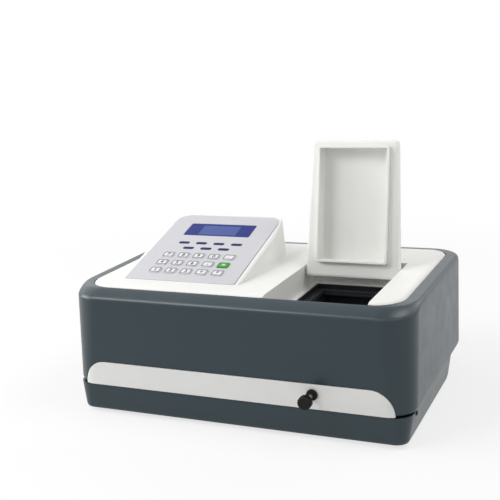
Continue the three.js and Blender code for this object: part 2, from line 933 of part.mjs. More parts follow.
function topCover() {
  const seat = deckSeatZ + seatGap;
  const outer = loft([
    deckLevel(deckInset, seat),
    ...edgeLevels(deckLevel, deckInset, deckHeight - deckEdgeRise, deckEdgeWidth, deckEdgeRise,
      filletSteps),
  ]);
  const under = loft([
    deckLevel(deckInset + deckWall, seat - overrun),
    deckLevel(deckInset + deckWall, deckHeight - deckEdgeRise - deckWall * half),
    deckLevel(deckInset + deckWall + deckEdgeWidth * half, deckHeight - deckWall),
  ]);
  const channelOuter = block(channelLeft - channelWall, channelRight + channelWall, 0,
    channelRear + channelWall, ledgeHeight - channelWall, deckHeight - deckWall * half)
    .intersect(prism(deckOutline(deckInset), 0, deckHeight));
  const channelInner = block(channelLeft, channelRight, deckInset + channelFrontWall, channelRear,
    ledgeHeight, deckHeight + overrun);
  const channelFront = block(channelLeft, channelRight, 0, deckInset + channelFrontWall + overrun,
    channelFrontTop, deckHeight + overrun);
  const mouth = block(channelX - mouthHalf, channelX + mouthHalf, mouthFront, mouthRear,
    ledgeHeight - channelWall - overrun, ledgeHeight + overrun);
  const pinHoles = bar("x", pinRadius + pinHoleGap, channelLeft - channelWall - overrun,
    channelRight + channelWall + overrun, [hingeY, hingeZ], smallRoundSides);
  const consoleRoom = consoleBlock(deckWall, seat - overrun);
  const keyPosts = keyPostPlaces().map((at) => onSlope(bar("z", keyPostRadius, keyBoardTop + seatGap,
    plateUnder + overrun, at, smallRoundSides)));
  const hollowDeck = outer.add(consoleBlock(0, deckHeight - deckWall * half)).subtract(under)
    .subtract(consoleRoom);
  const withChannel = joined([hollowDeck, channelOuter, ...keyPosts]);
  return cut(withChannel, [channelInner, channelFront, mouth, pinHoles, ...slopeCuts()]);
}

// Console fittings, each in the slope's own frame

function panelOverlay() {
  const keyHoles = keyPlaces().map(({ x, y }) => moved(
    plate(keyWidth / 2 + keyClearance, -keyLength / 2 - keyClearance, keyLength / 2 + keyClearance,
      keyCorner, -overrun, overrun), x, y, 0));
  const windowHole = plate(windowWidth / 2 + runGap, windowFoot - runGap, windowHead + runGap, keyCorner,
    -overrun, overrun);
  return cut(overlayPlate(0, overlayBottom, overlayTop), [...keyHoles, windowHole]);
}

function lcdWindow() {
  const bottom = seatGap - windowSeatDepth;
  return plate(windowWidth / 2, windowFoot, windowHead, keyCorner, bottom, bottom + windowThickness);
}

function lcdModule() {
  const top = plateUnder - seatGap;
  const body = block(-lcdWidth / 2, lcdWidth / 2, windowCentre - lcdLength / 2,
    windowCentre + lcdLength / 2, top - lcdThickness, top);
  const glass = block(-lcdGlassWidth / 2, lcdGlassWidth / 2, windowCentre - lcdGlassLength / 2,
    windowCentre + lcdGlassLength / 2, top - overrun, top + lcdGlassRise);
  return body.add(glass);
}

function keyCap() {
  const capTop = overlayTop + keyProud;
  const inner = (inset, z) => ({
    points: roundedRectangle(-keyWidth / 2 + inset, keyWidth / 2 - inset, -keyLength / 2 + inset,
      keyLength / 2 - inset, keyCorner - inset),
    z,
  });
  const cap = loft([inner(0, keyFlangeTop), ...edgeLevels(inner, 0, capTop - keyEdge, keyEdge, keyEdge, 2)]);
  const flange = plate(keyWidth / 2 + keyFlange, -keyLength / 2 - keyFlange, keyLength / 2 + keyFlange,
    keyCorner, keyFlangeBottom, keyFlangeTop + overrun * half).intersect(
    block(-keyWidth, keyWidth, -keyWidth, keyWidth, keyFlangeBottom, keyFlangeTop));
  const stem = bar("z", keyStemRadius, keyStemBottom, keyFlangeBottom + overrun * half, [0, 0],
    smallRoundSides);
  return joined([cap, flange, stem]);
}

function keypadBoard() {
  const board = block(-keyFieldHalf, keyFieldHalf, keyFieldFoot, keyFieldHead,
    keyBoardTop - boardThickness, keyBoardTop);
  const switches = keyPlaces().map(({ x, y }) => block(x - switchSize / 2, x + switchSize / 2,
    y - switchSize / 2, y + switchSize / 2, keyBoardTop - boardThickness * half, switchTop));
  return joined([board, ...switches]);
}

// Lid, in the frame of its hinge as it lies closed: Y to the rear, Z to its outer face

function lidLevel(inset, z) {
  const rear = lidHalfRear - inset;
  const front = lidHalfFront - inset;
  const radius = Math.max(lidCorner - inset, lidCornerLeast);
  const corners = [
    { x: -front, y: inset - lidReach, radius },
    { x: front, y: inset - lidReach, radius },
    { x: rear, y: lidTail - inset, radius },
    { x: -rear, y: lidTail - inset, radius },
  ];
  return { points: roundedPolygon(corners, filletSteps), z };
}

function lidForm(wall) {
  const sideFoot = lidUnderFillet - lidUnder;
  const rounded = 1 - Math.SQRT1_2;
  return loft([
    lidLevel(wall + lidUnderFillet, wall - lidUnder),
    lidLevel(wall + lidUnderFillet * rounded, wall + lidUnderFillet * rounded - lidUnder),
    ...edgeLevels(lidLevel, wall, sideFoot + wall * half, lidSideCurve,
      lidOver - wall - sideFoot - wall * half, filletSteps + 2),
  ]);
}

function linerOutline(grow) {
  return roundedRectangle(-linerHalf - grow, linerHalf + grow, -linerFront - grow, -linerRear + grow,
    linerWall + grow, smallCornerSteps);
}

function lidShell() {
  const opening = prism(linerOutline(runGap), -lidUnder - overrun, -lidUnder + lidWall + overrun);
  const hollow = lidForm(0).subtract(lidForm(lidWall)).subtract(opening);
  const bosses = [-1, 1].map((side) => {
    const outerX = side * (lidHalfRear - lidWall * half);
    const innerX = side * (lidHalfRear - pinBossLength);
    return block(Math.min(outerX, innerX), Math.max(outerX, innerX), -pinBossHalf, pinBossHalf,
      -pinBossDrop, lidOver - lidWall * half).intersect(lidForm(lidWall * half));
  });
  const pinHole = bar("x", pinRadius + pinHoleGap, -lidHalfRear - overrun, lidHalfRear + overrun,
    [0, 0], smallRoundSides);
  return joined([hollow, ...bosses]).subtract(pinHole);
}

function lidLiner() {
  const floorTop = linerDepth - lidUnder;
  const outer = prism(linerOutline(0), -lidUnder - linerProud, floorTop);
  const inner = prism(linerOutline(-linerWall), -lidUnder - linerProud - overrun, floorTop - linerWall);
  const roofUnder = lidOver - lidWall;
  const posts = [-1, 1].flatMap((side) => [-linerFront + linerPostInset, -linerRear - linerPostInset]
    .map((y) => bar("z", linerPostRadius, floorTop - overrun, roofUnder - seatGap,
      [side * (linerHalf - linerPostInset), y], smallRoundSides)));
  return joined([outer.subtract(inner), ...posts]);
}

// Hinge pin across the lid with two arms inside the case that stop the open lid under the deck.
function lidPin() {
  const armInner = channelHalf + channelWall + runGap;
  const armOuter = armInner + pinArmThickness;
  const armTop = deckHeight - deckWall - seatGap - hingeZ;
  const pin = bar("x", pinRadius, -armOuter, armOuter, [0, 0], smallRoundSides);
  const arms = [[-armOuter, -armInner], [armInner, armOuter]].flatMap(([x0, x1]) => [
    block(x0, x1, -pinArmReach, 0, -pinRadius, pinRadius),
    block(x0, x1, -pinArmReach, pinArmTip - pinArmReach, 0, armTop),
  ]);
  return joined([pin, ...arms]);
}

function lidPad() {
  const halfX = channelHalf - padMargin;
  const front = deckInset + channelFrontWall + padMargin;
  return prism(roundedRectangle(channelX - halfX, channelX + halfX, front, front + padWidth,
    padCorner), ledgeHeight + seatGap, hingeZ - lidUnder - seatGap);
}

// Sample compartment

const tubFlangeTop = ledgeHeight - channelWall - seatGap;
const tubRecessFloor = tubFlangeTop - tubFlangeWall;
const tubFlangeUnder = tubRecessFloor - tubFlangeWall;
const tubRecessHalf = mouthHalf - tubCollarGap - tubCollarWall;
const tubRecessFront = mouthFront + tubCollarGap + tubCollarWall;
const tubRecessRear = mouthRear - tubCollarGap - tubCollarWall;
const beamY = tubRear - carriageRearGap - carriageEndWall - cellPocket / 2
  - (cellCount - 1) * cellPitch;

function compartmentTub() {
  const flange = block(channelX - tubFlangeHalf, channelX + tubFlangeHalf, tubFlangeFront, tubFlangeRear,
    tubFlangeUnder, tubFlangeTop);
  const collar = block(channelX - mouthHalf + tubCollarGap, channelX + mouthHalf - tubCollarGap,
    mouthFront + tubCollarGap, mouthRear - tubCollarGap, tubFlangeTop - overrun, ledgeHeight - seatGap);
  const body = block(channelX - tubHalf - tubWall, channelX + tubHalf + tubWall, tubFront - tubWall,
    tubRear + tubWall, tubBottom, tubRecessFloor - tubFlangeWall * half);
  const recess = block(channelX - tubRecessHalf, channelX + tubRecessHalf, tubRecessFront, tubRecessRear,
    tubRecessFloor, ledgeHeight);
  const mouth = block(channelX - tubMouthHalf, channelX + tubMouthHalf, tubMouthFront, tubMouthRear,
    tubFlangeUnder - overrun, tubFlangeTop + overrun);
  const cavity = block(channelX - tubHalf, channelX + tubHalf, tubFront, tubRear, tubFloor,
    tubFlangeUnder);
  const beam = bar("x", beamHoleRadius, channelX - tubHalf - tubWall - overrun,
    channelX + tubHalf + tubWall + overrun, [beamY, beamZ], smallRoundSides);
  const rod = bar("y", rodHoleRadius, tubFront - tubWall - overrun, tubFront + overrun,
    [channelX, rodZ], smallRoundSides);
  return cut(joined([flange, collar, body]), [recess, mouth, cavity, beam, rod]);
}

function compartmentSeal() {
  const closedRim = hingeZ - lidUnder - linerProud;
  const bottom = tubRecessFloor + seatGap;
  const ring = (grow) => roundedRectangle(channelX - linerHalf - grow, channelX + linerHalf + grow,
    hingeY - linerFront - grow, hingeY - linerRear + grow, sealWidth + grow, smallCornerSteps);
  const outer = overrun;
  return prism(ring(outer), bottom, closedRim - seatGap)
    .subtract(prism(ring(outer - sealWidth), bottom - overrun, closedRim + overrun));
}

function cellCentres() {
  return Array.from({ length: cellCount }, (_, i) => beamY + i * cellPitch);
}

const carriageFront = beamY - cellPocket / 2 - carriageEndWall;
const carriageRear = tubRear - carriageRearGap;

function cellCarriage() {
  const blockBody = block(channelX - carriageHalf, channelX + carriageHalf, carriageFront, carriageRear,
    carriageBottom, carriageTop);
  const wings = block(channelX - carriageWingHalf, channelX + carriageWingHalf, carriageFront,
    carriageRear, carriageBottom, carriageWingTop);
  const pockets = cellCentres().map((y) => block(channelX - cellPocket / 2, channelX + cellPocket / 2,
    y - cellPocket / 2, y + cellPocket / 2, pocketFloorZ, carriageTop + overrun));
  const windows = cellCentres().map((y) => bar("x", carriageBeamHole, channelX - carriageWingHalf,
    channelX + carriageWingHalf, [y, beamZ], smallRoundSides));
  const railBores = [-1, 1].map((side) => bar("y", railRadius + runGap, carriageFront - overrun,
    carriageRear + overrun, [channelX + side * railX, railZ], smallRoundSides));
  const socket = bar("y", rodRadius + seatGap, carriageFront - overrun, carriageFront + rodSocket,
    [channelX, rodZ], smallRoundSides);
  return cut(blockBody.add(wings), [...pockets, ...windows, ...railBores, socket]);
}

// Two rails between a front and a rear cross bar that stand on the compartment's floor.
function carriageRails() {
  const rails = [-1, 1].map((side) => bar("y", railRadius, tubFront + seatGap, tubRear - seatGap,
    [channelX + side * railX, railZ], smallRoundSides));
  const halfX = railX + railBarMargin;
  const bars = [tubFront + seatGap, tubRear - seatGap - railBarWall].map((y) => block(channelX - halfX,
    channelX + halfX, y, y + railBarWall, tubFloor + seatGap, railBarTop));
  const rodPass = bar("y", rodHoleRadius, tubFront, tubFront + 2 * railBarWall, [channelX, rodZ],
    smallRoundSides);
  return joined([...rails, ...bars]).subtract(rodPass);
}

function pullRod() {
  const front = knobFront + knobLength - knobBore + seatGap;
  return bar("y", rodRadius, front, carriageFront + rodSocket - seatGap, [channelX, rodZ],
    smallRoundSides);
}

// Knob outline with shallow flutes all round.
function knobOutline(inset) {
  const points = [];
  const steps = knobFlutes * knobFluteSteps;
  for (let i = 0; i < steps; i += 1) {
    const angle = (fullTurn * i) / steps;
    const flute = knobFluteDepth * half * (1 - Math.cos(knobFlutes * angle));
    const radius = knobRadius - inset - flute;
    points.push(new THREE.Vector2(radius * Math.cos(angle), radius * Math.sin(angle)));
  }
  return points;
}

function rodKnob() {
  const level = (inset, z) => ({ points: knobOutline(inset), z });
  const body = loft([
    level(knobEdge, 0),
    level(0, knobEdge),
    level(0, knobLength - knobEdge),
    level(knobEdge, knobLength),
  ]);
  const bore = bar("z", rodRadius + seatGap * half, -overrun, knobBore, [0, 0], smallRoundSides);
  const place = new THREE.Matrix4().makeRotationX(quarterTurn)
    .setPosition(channelX, knobFront + knobLength, rodZ);
  return turnedBy(body.subtract(bore), place);
}

function rodBush() {
  const face = -stripProud - seatGap;
  const flange = bar("y", bushFlangeRadius, face - bushFlangeLength, face, [channelX, rodZ]);
  const barrel = bar("y", bushBarrelRadius, face - overrun, bushBarrelLength, [channelX, rodZ]);
  const bore = bar("y", rodRadius + runGap, face - bushFlangeLength - overrun,
    bushBarrelLength + overrun, [channelX, rodZ], smallRoundSides);
  return flange.add(barrel).subtract(bore);
}

// Rear panel and its fittings

const panelOuterY = rearInnerY - seatGap;
const panelInnerY = panelOuterY - panelWall;

function rivetPlaces() {
  const xs = [panelLeft + rivetInset, (panelLeft + panelRight) / 2, panelRight - rivetInset];
  const zs = [panelBottom + rivetInset, panelTop - rivetInset];
  return xs.flatMap((x) => zs.map((z) => ({ x, z })));
}

function rearPanel() {
  const sheet = block(panelLeft, panelRight, panelInnerY, panelOuterY, panelBottom, panelTop);
  const window = (x, z, width, height) => block(x - width / 2, x + width / 2, panelInnerY - overrun,
    panelOuterY + overrun, z - height / 2, z + height / 2);
  const slotPitch = (2 * fanBore) / fanSlots;
  const slots = Array.from({ length: fanSlots }, (_, i) => {
    const rise = (i - (fanSlots - 1) / 2) * slotPitch;
    const chord = 2 * Math.sqrt(fanBore * fanBore - rise * rise);
    return window(fanX, fanZ + rise, chord, fanSlotHeight);
  });
  const rivets = rivetPlaces().flatMap(({ x, z }) => [
    bar("y", rivetRadius, panelInnerY + panelWall * half, caseDepth + seatGap + rivetHeadHeight * half,
      [x, z], smallRoundSides),
    bar("y", rivetHeadRadius, caseDepth + seatGap, caseDepth + seatGap + rivetHeadHeight, [x, z],
      smallRoundSides),
  ]);
  return cut(joined([sheet, ...rivets]), [
    window(inletX, inletZ, inletBodyWidth + 2 * runGap, inletBodyHeight + 2 * runGap),
    window(switchX, inletZ, switchWidth + 2 * runGap, switchLength + 2 * runGap),
    window(portX, inletZ, portWidth + 2 * runGap, portHeight + 2 * runGap),
    ...slots,
  ]);
}

function mainsInlet() {
  const face = panelOuterY + seatGap;
  const flange = block(inletX - inletFlangeWidth / 2, inletX + inletFlangeWidth / 2, face,
    face + inletFlangeWall, inletZ - inletFlangeHeight / 2, inletZ + inletFlangeHeight / 2);
  const body = block(inletX - inletBodyWidth / 2, inletX + inletBodyWidth / 2, face - inletBodyDepth,
    face + overrun, inletZ - inletBodyHeight / 2, inletZ + inletBodyHeight / 2);
  const wellHalfX = inletBodyWidth / 2 - inletWellWall;
  const wellHalfZ = inletBodyHeight / 2 - inletWellWall;
  const mouthY = face + inletFlangeWall;
  const well = block(inletX - wellHalfX, inletX + wellHalfX, mouthY - inletWell, mouthY + overrun,
    inletZ - wellHalfZ, inletZ + wellHalfZ);
  const pins = [-1, 0, 1].map((i) => block(inletX + i * inletPinPitch - inletPinWidth / 2,
    inletX + i * inletPinPitch + inletPinWidth / 2, mouthY - inletWell - overrun,
    mouthY - inletPinBack, inletZ - inletPinHeight / 2, inletZ + inletPinHeight / 2));
  return joined([cut(flange.add(body), [well]), ...pins]);
}

const switchWellHalfX = switchWidth / 2 - switchBezel;
const switchWellHalfZ = switchLength / 2 - switchBezel;
const rockerPivotY = panelOuterY - rockerThickness * half;

function switchFrame() {
  const face = panelOuterY + seatGap;
  const flange = block(switchX - switchWidth / 2 - switchBezel, switchX + switchWidth / 2 + switchBezel,
    face, face + switchFlangeWall, inletZ - switchLength / 2 - switchBezel,
    inletZ + switchLength / 2 + switchBezel);
  const body = block(switchX - switchWidth / 2, switchX + switchWidth / 2, face - switchBodyDepth,
    face + overrun, inletZ - switchLength / 2, inletZ + switchLength / 2);
  const well = block(switchX - switchWellHalfX, switchX + switchWellHalfX, face - switchBodyDepth
    + switchBezel, face + switchFlangeWall + overrun, inletZ - switchWellHalfZ,
    inletZ + switchWellHalfZ);
  return flange.add(body).subtract(well);
}

// Rocker about its pivot along X, as a shallow roof whose two faces meet in the middle.
function powerRocker() {
  const halfX = switchWellHalfX - runGap;
  const reach = switchWellHalfZ - rockerEndGap;
  const front = rockerThickness * half + switchFlangeWall;
  const rise = reach * Math.tan(rockerTilt);
  const side = [
    new THREE.Vector2(-front + rise, -reach),
    new THREE.Vector2(rockerEdge, -reach),
    new THREE.Vector2(rockerThickness * half, 0),
    new THREE.Vector2(rockerEdge, reach),
    new THREE.Vector2(-front + rise, reach),
    new THREE.Vector2(-front, 0),
  ].map((p) => new THREE.Vector2(-p.x, p.y)).reverse();
  const upright = new THREE.Matrix4().set(0, 0, 1, -halfX, 1, 0, 0, 0, 0, 1, 0, 0, 0, 0, 0, 1);
  return turnedBy(prism(side, 0, 2 * halfX), upright);
}

function dataPort() {
  const face = panelOuterY + seatGap;
  const shell = block(portX - portWidth / 2, portX + portWidth / 2, face - portDepth, face + portProud,
    inletZ - portHeight / 2, inletZ + portHeight / 2);
  const well = block(portX - portWidth / 2 + portShellWall, portX + portWidth / 2 - portShellWall,
    face + portProud - portWellDepth, face + portProud + overrun, inletZ - portHeight / 2 + portShellWall,
    inletZ + portHeight / 2 - portShellWall);
  const flange = block(portX - portWidth / 2 - portFlangeLap, portX + portWidth / 2 + portFlangeLap, face,
    face + portFlangeWall, inletZ - portHeight / 2 - portFlangeLap * half,
    inletZ + portHeight / 2 + portFlangeLap * half);
  return flange.add(shell).subtract(well);
}

const fanOuterY = panelInnerY - seatGap;
const fanInnerY = fanOuterY - fanThickness;
const rotorFront = fanOuterY - rotorRecess;
const rotorBoreEnd = rotorFront - fanHubPlate;

function fanFrame() {
  const body = block(fanX - fanSize / 2, fanX + fanSize / 2, fanInnerY, fanOuterY, fanZ - fanSize / 2,
    fanZ + fanSize / 2);
  const bore = bar("y", fanBore, fanInnerY - overrun, fanOuterY + overrun, [fanX, fanZ]);
  const hub = bar("y", fanHubRadius, fanInnerY, fanInnerY + fanHubPlate, [fanX, fanZ]);
  const spokes = Array.from({ length: fanSpokes }, (_, i) => {
    const arm = block(-fanSpokeWidth / 2, fanSpokeWidth / 2, fanInnerY, fanInnerY + fanHubPlate, 0,
      fanBore + overrun);
    const place = new THREE.Matrix4().makeRotationY((fullTurn * i) / fanSpokes);
    place.setPosition(fanX, 0, fanZ);
    return turnedBy(arm, place);
  });
  const shaft = bar("y", fanShaftRadius, fanInnerY, rotorBoreEnd - runGap, [fanX, fanZ],
    smallRoundSides);
  return joined([body.subtract(bore), hub, ...spokes, shaft]);
}

// Rotor about its own axis along Y, its middle at the origin of the fan's bore.
function fanRotor() {
  const rear = fanInnerY + fanHubPlate + runGap;
  const hub = bar("y", fanHubRadius, rear, rotorFront, [0, 0]);
  const bore = bar("y", fanShaftRadius + runGap, rear - overrun, rotorBoreEnd, [0, 0],
    smallRoundSides);
  const middle = (rear + rotorFront) / 2;
  const blades = Array.from({ length: fanBlades }, (_, i) => {
    const blade = block(-fanBladeWall / 2, fanBladeWall / 2, -fanBladeDepth / 2, fanBladeDepth / 2,
      fanHubRadius - overrun, fanBore - fanBladeGap);
    const pitch = new THREE.Matrix4().makeRotationZ(fanBladePitch);
    const around = new THREE.Matrix4().makeRotationY((fullTurn * i) / fanBlades);
    around.setPosition(0, middle, 0);
    return turnedBy(blade, around.multiply(pitch));
  });
  return joined([hub, ...blades]).subtract(bore);
}

// Monochromator and its drive

const screwX = gratingX - armLength - screwOffset;
const screwZ = armZ + armThickness * half;
const monoFloor = standZ + monoFloorWall;

function monoHousing() {
  const outer = block(monoLeft, monoRight, monoFront, monoRear, standZ, monoTop);
  const inner = block(monoLeft + monoWall, monoRight - monoWall, monoFront + monoWall,
    monoRear - monoWall, monoFloor, monoTop + overrun);
  const reach = channelX - tubHalf - tubWall - seatGap;
  const exit = bar("x", tubeInner, monoRight - monoWall - overrun, reach + overrun,
    [beamY, beamZ], smallRoundSides);
  const entrance = bar("y", slitRadius, monoRear - monoWall - overrun, monoRear + overrun,
    [slitX, beamZ], smallRoundSides);
  const wheelAxle = bar("y", filterShaftRadius + runGap, monoRear - monoWall - overrun,
    monoRear + overrun, [slitX + wheelHoleCircle, beamZ], smallRoundSides);
  const plateHalf = motorSize / 2;
  const motorPlate = block(screwX - plateHalf, screwX + plateHalf, motorPlateY - motorPlateWall,
    motorPlateY, monoFloor - overrun, screwZ + plateHalf);
  const bearing = block(screwX - plateHalf / 2, screwX + plateHalf / 2, screwFrontY - bearingWall,
    screwFrontY + bearingWall, monoFloor - overrun, screwZ + plateHalf / 2);
  const spindleBoss = bar("z", spindleRadius + runGap + monoWall, monoFloor - overrun,
    armZ - rollerHeight * half, [gratingX, gratingY]);
  const spindleBore = bar("z", spindleRadius + runGap, monoFloor, armZ, [gratingX, gratingY]);
  const motorHole = bar("y", motorHoleRadius, motorPlateY - motorPlateWall - overrun,
    motorPlateY + overrun, [screwX, screwZ], smallRoundSides);
  const bearingBore = bar("y", screwRadius + runGap, screwFrontY - bearingWall - overrun,
    screwFrontY + bearingWall + overrun, [screwX, screwZ], smallRoundSides);
  return cut(joined([outer.subtract(inner), snout(monoRight - monoWall * half, reach), motorPlate,
    bearing, spindleBoss]),
    [exit, entrance, wheelAxle, spindleBore, motorHole, bearingBore]);
}

// Turning table with its spindle, its long arm and the roller at the arm's end, about the spindle.
function gratingTable() {
  const spindle = bar("z", spindleRadius, monoFloor + seatGap, tableZ + overrun, [0, 0]);
  const table = bar("z", tableRadius, tableZ, tableZ + tableThickness, [0, 0]);
  const arm = block(-armLength, 0, -armWidth / 2, armWidth / 2, armZ, armZ + armThickness);
  const rollerTop = screwZ + rollerHeight / 2;
  const roller = bar("z", rollerRadius, screwZ - rollerHeight / 2, rollerTop, [-armLength, 0],
    smallRoundSides);
  return joined([spindle, table, arm, roller]);
}

function grating() {
  const foot = tableZ + tableThickness + seatGap;
  return block(-gratingWidth / 2, gratingWidth / 2, -gratingThickness / 2, gratingThickness / 2, foot,
    foot + gratingHeight);
}

function driveScrew() {
  const front = screwFrontY - bearingWall;
  const rear = motorPlateY + seatGap * half;
  const profile = [[0, front], [screwRadius, front]];
  const threadStart = screwFrontY + bearingWall + overrun;
  const threadEnd = motorPlateY - motorPlateWall - overrun;
  const turns = Math.floor((threadEnd - threadStart) / screwGroovePitch);
  for (let i = 0; i < turns; i += 1) {
    const y = threadStart + i * screwGroovePitch;
    profile.push([screwRadius, y], [screwRadius - screwGrooveDepth, y + screwGroovePitch / 2]);
  }
  profile.push([screwRadius, threadEnd], [screwRadius, rear], [0, rear]);
  const upright = new THREE.Matrix4().makeRotationX(-quarterTurn);
  return turnedBy(turned(profile, smallRoundSides), upright);
}

// Nut on the screw with a fork that holds the arm's roller, about the roller's middle at rest.
function driveNut() {
  const body = block(-screwOffset - nutHalf, nutHalf - screwOffset, -nutLength / 2, nutLength / 2,
    -nutHalf, nutHalf);
  const inner = rollerRadius + runGap;
  const prongs = [-1, 1].map((side) => {
    const near = side * inner;
    const far = side * (inner + forkWall);
    return block(-screwOffset, forkLength / 2 - rollerRadius, Math.min(near, far), Math.max(near, far),
      -forkHeight / 2, forkHeight / 2);
  });
  const bore = bar("y", screwRadius + nutBoreGap, -nutLength - overrun, nutLength + overrun,
    [-screwOffset, 0], smallRoundSides);
  return joined([body, ...prongs]).subtract(bore);
}

function driveMotor() {
  const front = motorPlateY + seatGap;
  const halfSize = motorSize / 2;
  const chamfer = halfSize * motorChamferShare;
  const corners = [
    [halfSize, -chamfer], [halfSize, chamfer], [chamfer, halfSize], [-chamfer, halfSize],
    [-halfSize, chamfer], [-halfSize, -chamfer], [-chamfer, -halfSize], [chamfer, -halfSize],
  ].map(([x, y]) => new THREE.Vector2(x, y));
  const place = new THREE.Matrix4().makeRotationX(quarterTurn)
    .setPosition(screwX, front + motorLength, screwZ);
  return turnedBy(prism(corners, 0, motorLength), place);
}

function mirror(x, turn) {
  const foot = monoFloor + seatGap;
  const stand = block(-mirrorStandWidth / 2, mirrorStandWidth / 2, -mirrorThickness / 2,
    mirrorThickness / 2, foot, beamZ - mirrorHeight / 2 + overrun);
  const face = block(-mirrorWidth / 2, mirrorWidth / 2, -mirrorThickness / 2, mirrorThickness / 2,
    beamZ - mirrorHeight / 2, beamZ + mirrorHeight / 2);
  const place = new THREE.Matrix4().makeRotationZ(turn).setPosition(x, mirrorY + mirrorThickness, 0);
  return turnedBy(stand.add(face), place);
}

function mirrorMount() {
  const foot = monoFloor + seatGap;
  const middleY = mirrorY + mirrorThickness;
  const sole = block(mirrorFirstX - mirrorFootMargin, mirrorSecondX + mirrorFootMargin,
    middleY - mirrorFootMargin, middleY + mirrorFootMargin, foot, foot + mirrorFootWall);
  return joined([sole, mirror(mirrorFirstX, mirrorTurn), mirror(mirrorSecondX, -mirrorTurn)]);
}

const wheelFrontY = monoRear + seatGap + overrun;

// Filter wheel about its own axis along Y.
function filterWheel() {
  const disc = bar("y", wheelRadius, wheelFrontY, wheelFrontY + wheelThickness, [0, 0]);
  const hub = bar("y", wheelHubRadius, wheelFrontY - overrun, wheelFrontY + 2 * wheelThickness, [0, 0],
    smallRoundSides);
  const holes = Array.from({ length: wheelHoles }, (_, i) => {
    const angle = (fullTurn * i) / wheelHoles;
    return bar("y", wheelHoleRadius, wheelFrontY - 2 * overrun, wheelFrontY + wheelThickness + overrun,
      [-wheelHoleCircle * Math.cos(angle), wheelHoleCircle * Math.sin(angle)], smallRoundSides);
  });
  const bore = bar("y", filterShaftRadius + seatGap, wheelFrontY - 2 * overrun,
    wheelFrontY + wheelThickness, [0, 0], smallRoundSides);
  return cut(disc.add(hub), [...holes, bore]);
}

function filterMotor() {
  const x = slitX + wheelHoleCircle;
  const face = monoRear - monoWall - seatGap;
  const body = bar("y", filterMotorRadius, face - filterMotorLength, face, [x, beamZ]);
  const shaft = bar("y", filterShaftRadius, face - overrun, wheelFrontY + wheelThickness - seatGap,
    [x, beamZ], smallRoundSides);
  return body.add(shaft);
}

function lampHouse() {
  const outer = block(lampLeft, lampRight, lampFront, lampRear, standZ, lampTop);
  const inner = block(lampLeft + lampWall, lampRight - lampWall, lampFront + lampWall,
    lampRear - lampWall, standZ + lampWall, lampTop + overrun);
  const window = bar("y", slitRadius + lampWall, lampFront - overrun, lampFront + lampWall + overrun,
    [slitX, beamZ], smallRoundSides);
  return cut(outer, [inner, window]);
}

function lamp() {
  const foot = standZ + lampWall + seatGap;
  const neck = foot + lampSocketHeight;
  const tip = neck + lampBulbHeight;
  const profile = [
    [0, foot],
    [lampSocketRadius, foot],
    [lampSocketRadius, neck],
    [lampBulbRadius, neck],
    [lampBulbRadius, tip - lampBulbRadius],
    [lampBulbRadius * Math.SQRT1_2, tip - lampBulbRadius * (1 - Math.SQRT1_2)],
    [0, tip],
  ];
  return moved(turned(profile, smallRoundSides), slitX, lampY, 0);
}

function snout(fromX, toX) {
  return bar("x", tubeOuter, fromX, toX, [beamY, beamZ]);
}

function detectorHouse() {
  const outer = block(detectorLeft, detectorRight, beamY - detectorHalf, beamY + detectorHalf, standZ,
    detectorTop);
  const inner = block(detectorLeft + detectorWall, detectorRight - detectorWall,
    beamY - detectorHalf + detectorWall, beamY + detectorHalf - detectorWall, standZ + detectorWall,
    detectorTop + overrun);
  const reach = channelX + tubHalf + tubWall + seatGap;
  const window = bar("x", tubeInner, reach - overrun, detectorLeft + detectorWall + overrun,
    [beamY, beamZ], smallRoundSides);
  return cut(outer.add(snout(reach, detectorLeft + detectorWall * half)), [inner, window]);
}

function detectorBoard() {
  const halfY = detectorHalf - detectorWall - seatGap;
  const board = block(detectorBoardX, detectorBoardX + boardThickness, beamY - halfY, beamY + halfY,
    standZ + detectorWall + seatGap, detectorBoardTop);
  const diode = bar("x", diodeRadius, detectorBoardX - diodeLength, detectorBoardX + boardThickness / 2,
    [beamY, beamZ], smallRoundSides);
  return board.add(diode);
}

function mainBoard() {
  const under = standZ + mainStandoff;
  const board = block(mainLeft, mainRight, mainFront, mainRear, under, under + boardThickness);
  const standoffs = [mainLeft + mainStandoffInset, mainRight - mainStandoffInset].flatMap((x) => [
    mainFront + mainStandoffInset, mainRear - mainStandoffInset,
  ].map((y) => bar("z", mainStandoffRadius, standZ, under + boardThickness / 2, [x, y],
    smallRoundSides)));
  const middleX = (mainLeft + mainRight) / 2;
  const middleY = (mainFront + mainRear) / 2;
  const chips = Array.from({ length: mainChips }, (_, i) => {
    const x = middleX + (i - (mainChips - 1) / 2) * mainChipPitch;
    return block(x - mainChipSize / 2, x + mainChipSize / 2, middleY - mainChipSize / 2,
      middleY + mainChipSize / 2, under + boardThickness / 2, under + boardThickness + mainChipHeight);
  });
  return joined([board, ...standoffs, ...chips]);
}

function powerSupply() {
  const top = standZ + supplyHeight;
  const body = block(supplyLeft, supplyRight, supplyFront, supplyRear, standZ, top);
  const pitch = (supplyRight - supplyLeft - supplyFinWall) / (supplyFins - 1);
  const fins = Array.from({ length: supplyFins }, (_, i) => block(supplyLeft + i * pitch,
    supplyLeft + i * pitch + supplyFinWall, supplyFront, supplyRear, top - overrun,
    top + supplyFinHeight));
  return joined([body, ...fins]);
}

// Assembly

const photometer = new THREE.Group();
const working = new THREE.Group();
const frontmost = knobFront;
const rearmost = caseDepth + seatGap + rivetHeadHeight;
working.position.set(0, -(frontmost + rearmost) / 2, footHeight);
photometer.add(working);

addPiece(working, "base_tray", baseTray(), "slate");
cornerPlaces().forEach((place) => addPiece(working, place.name, foot(place), "rubber"));
addPiece(working, "case_cover", caseCover(), "slate");
addPiece(working, "front_strip", frontStrip(), "strip");
addPiece(working, "top_cover", topCover(), "white");

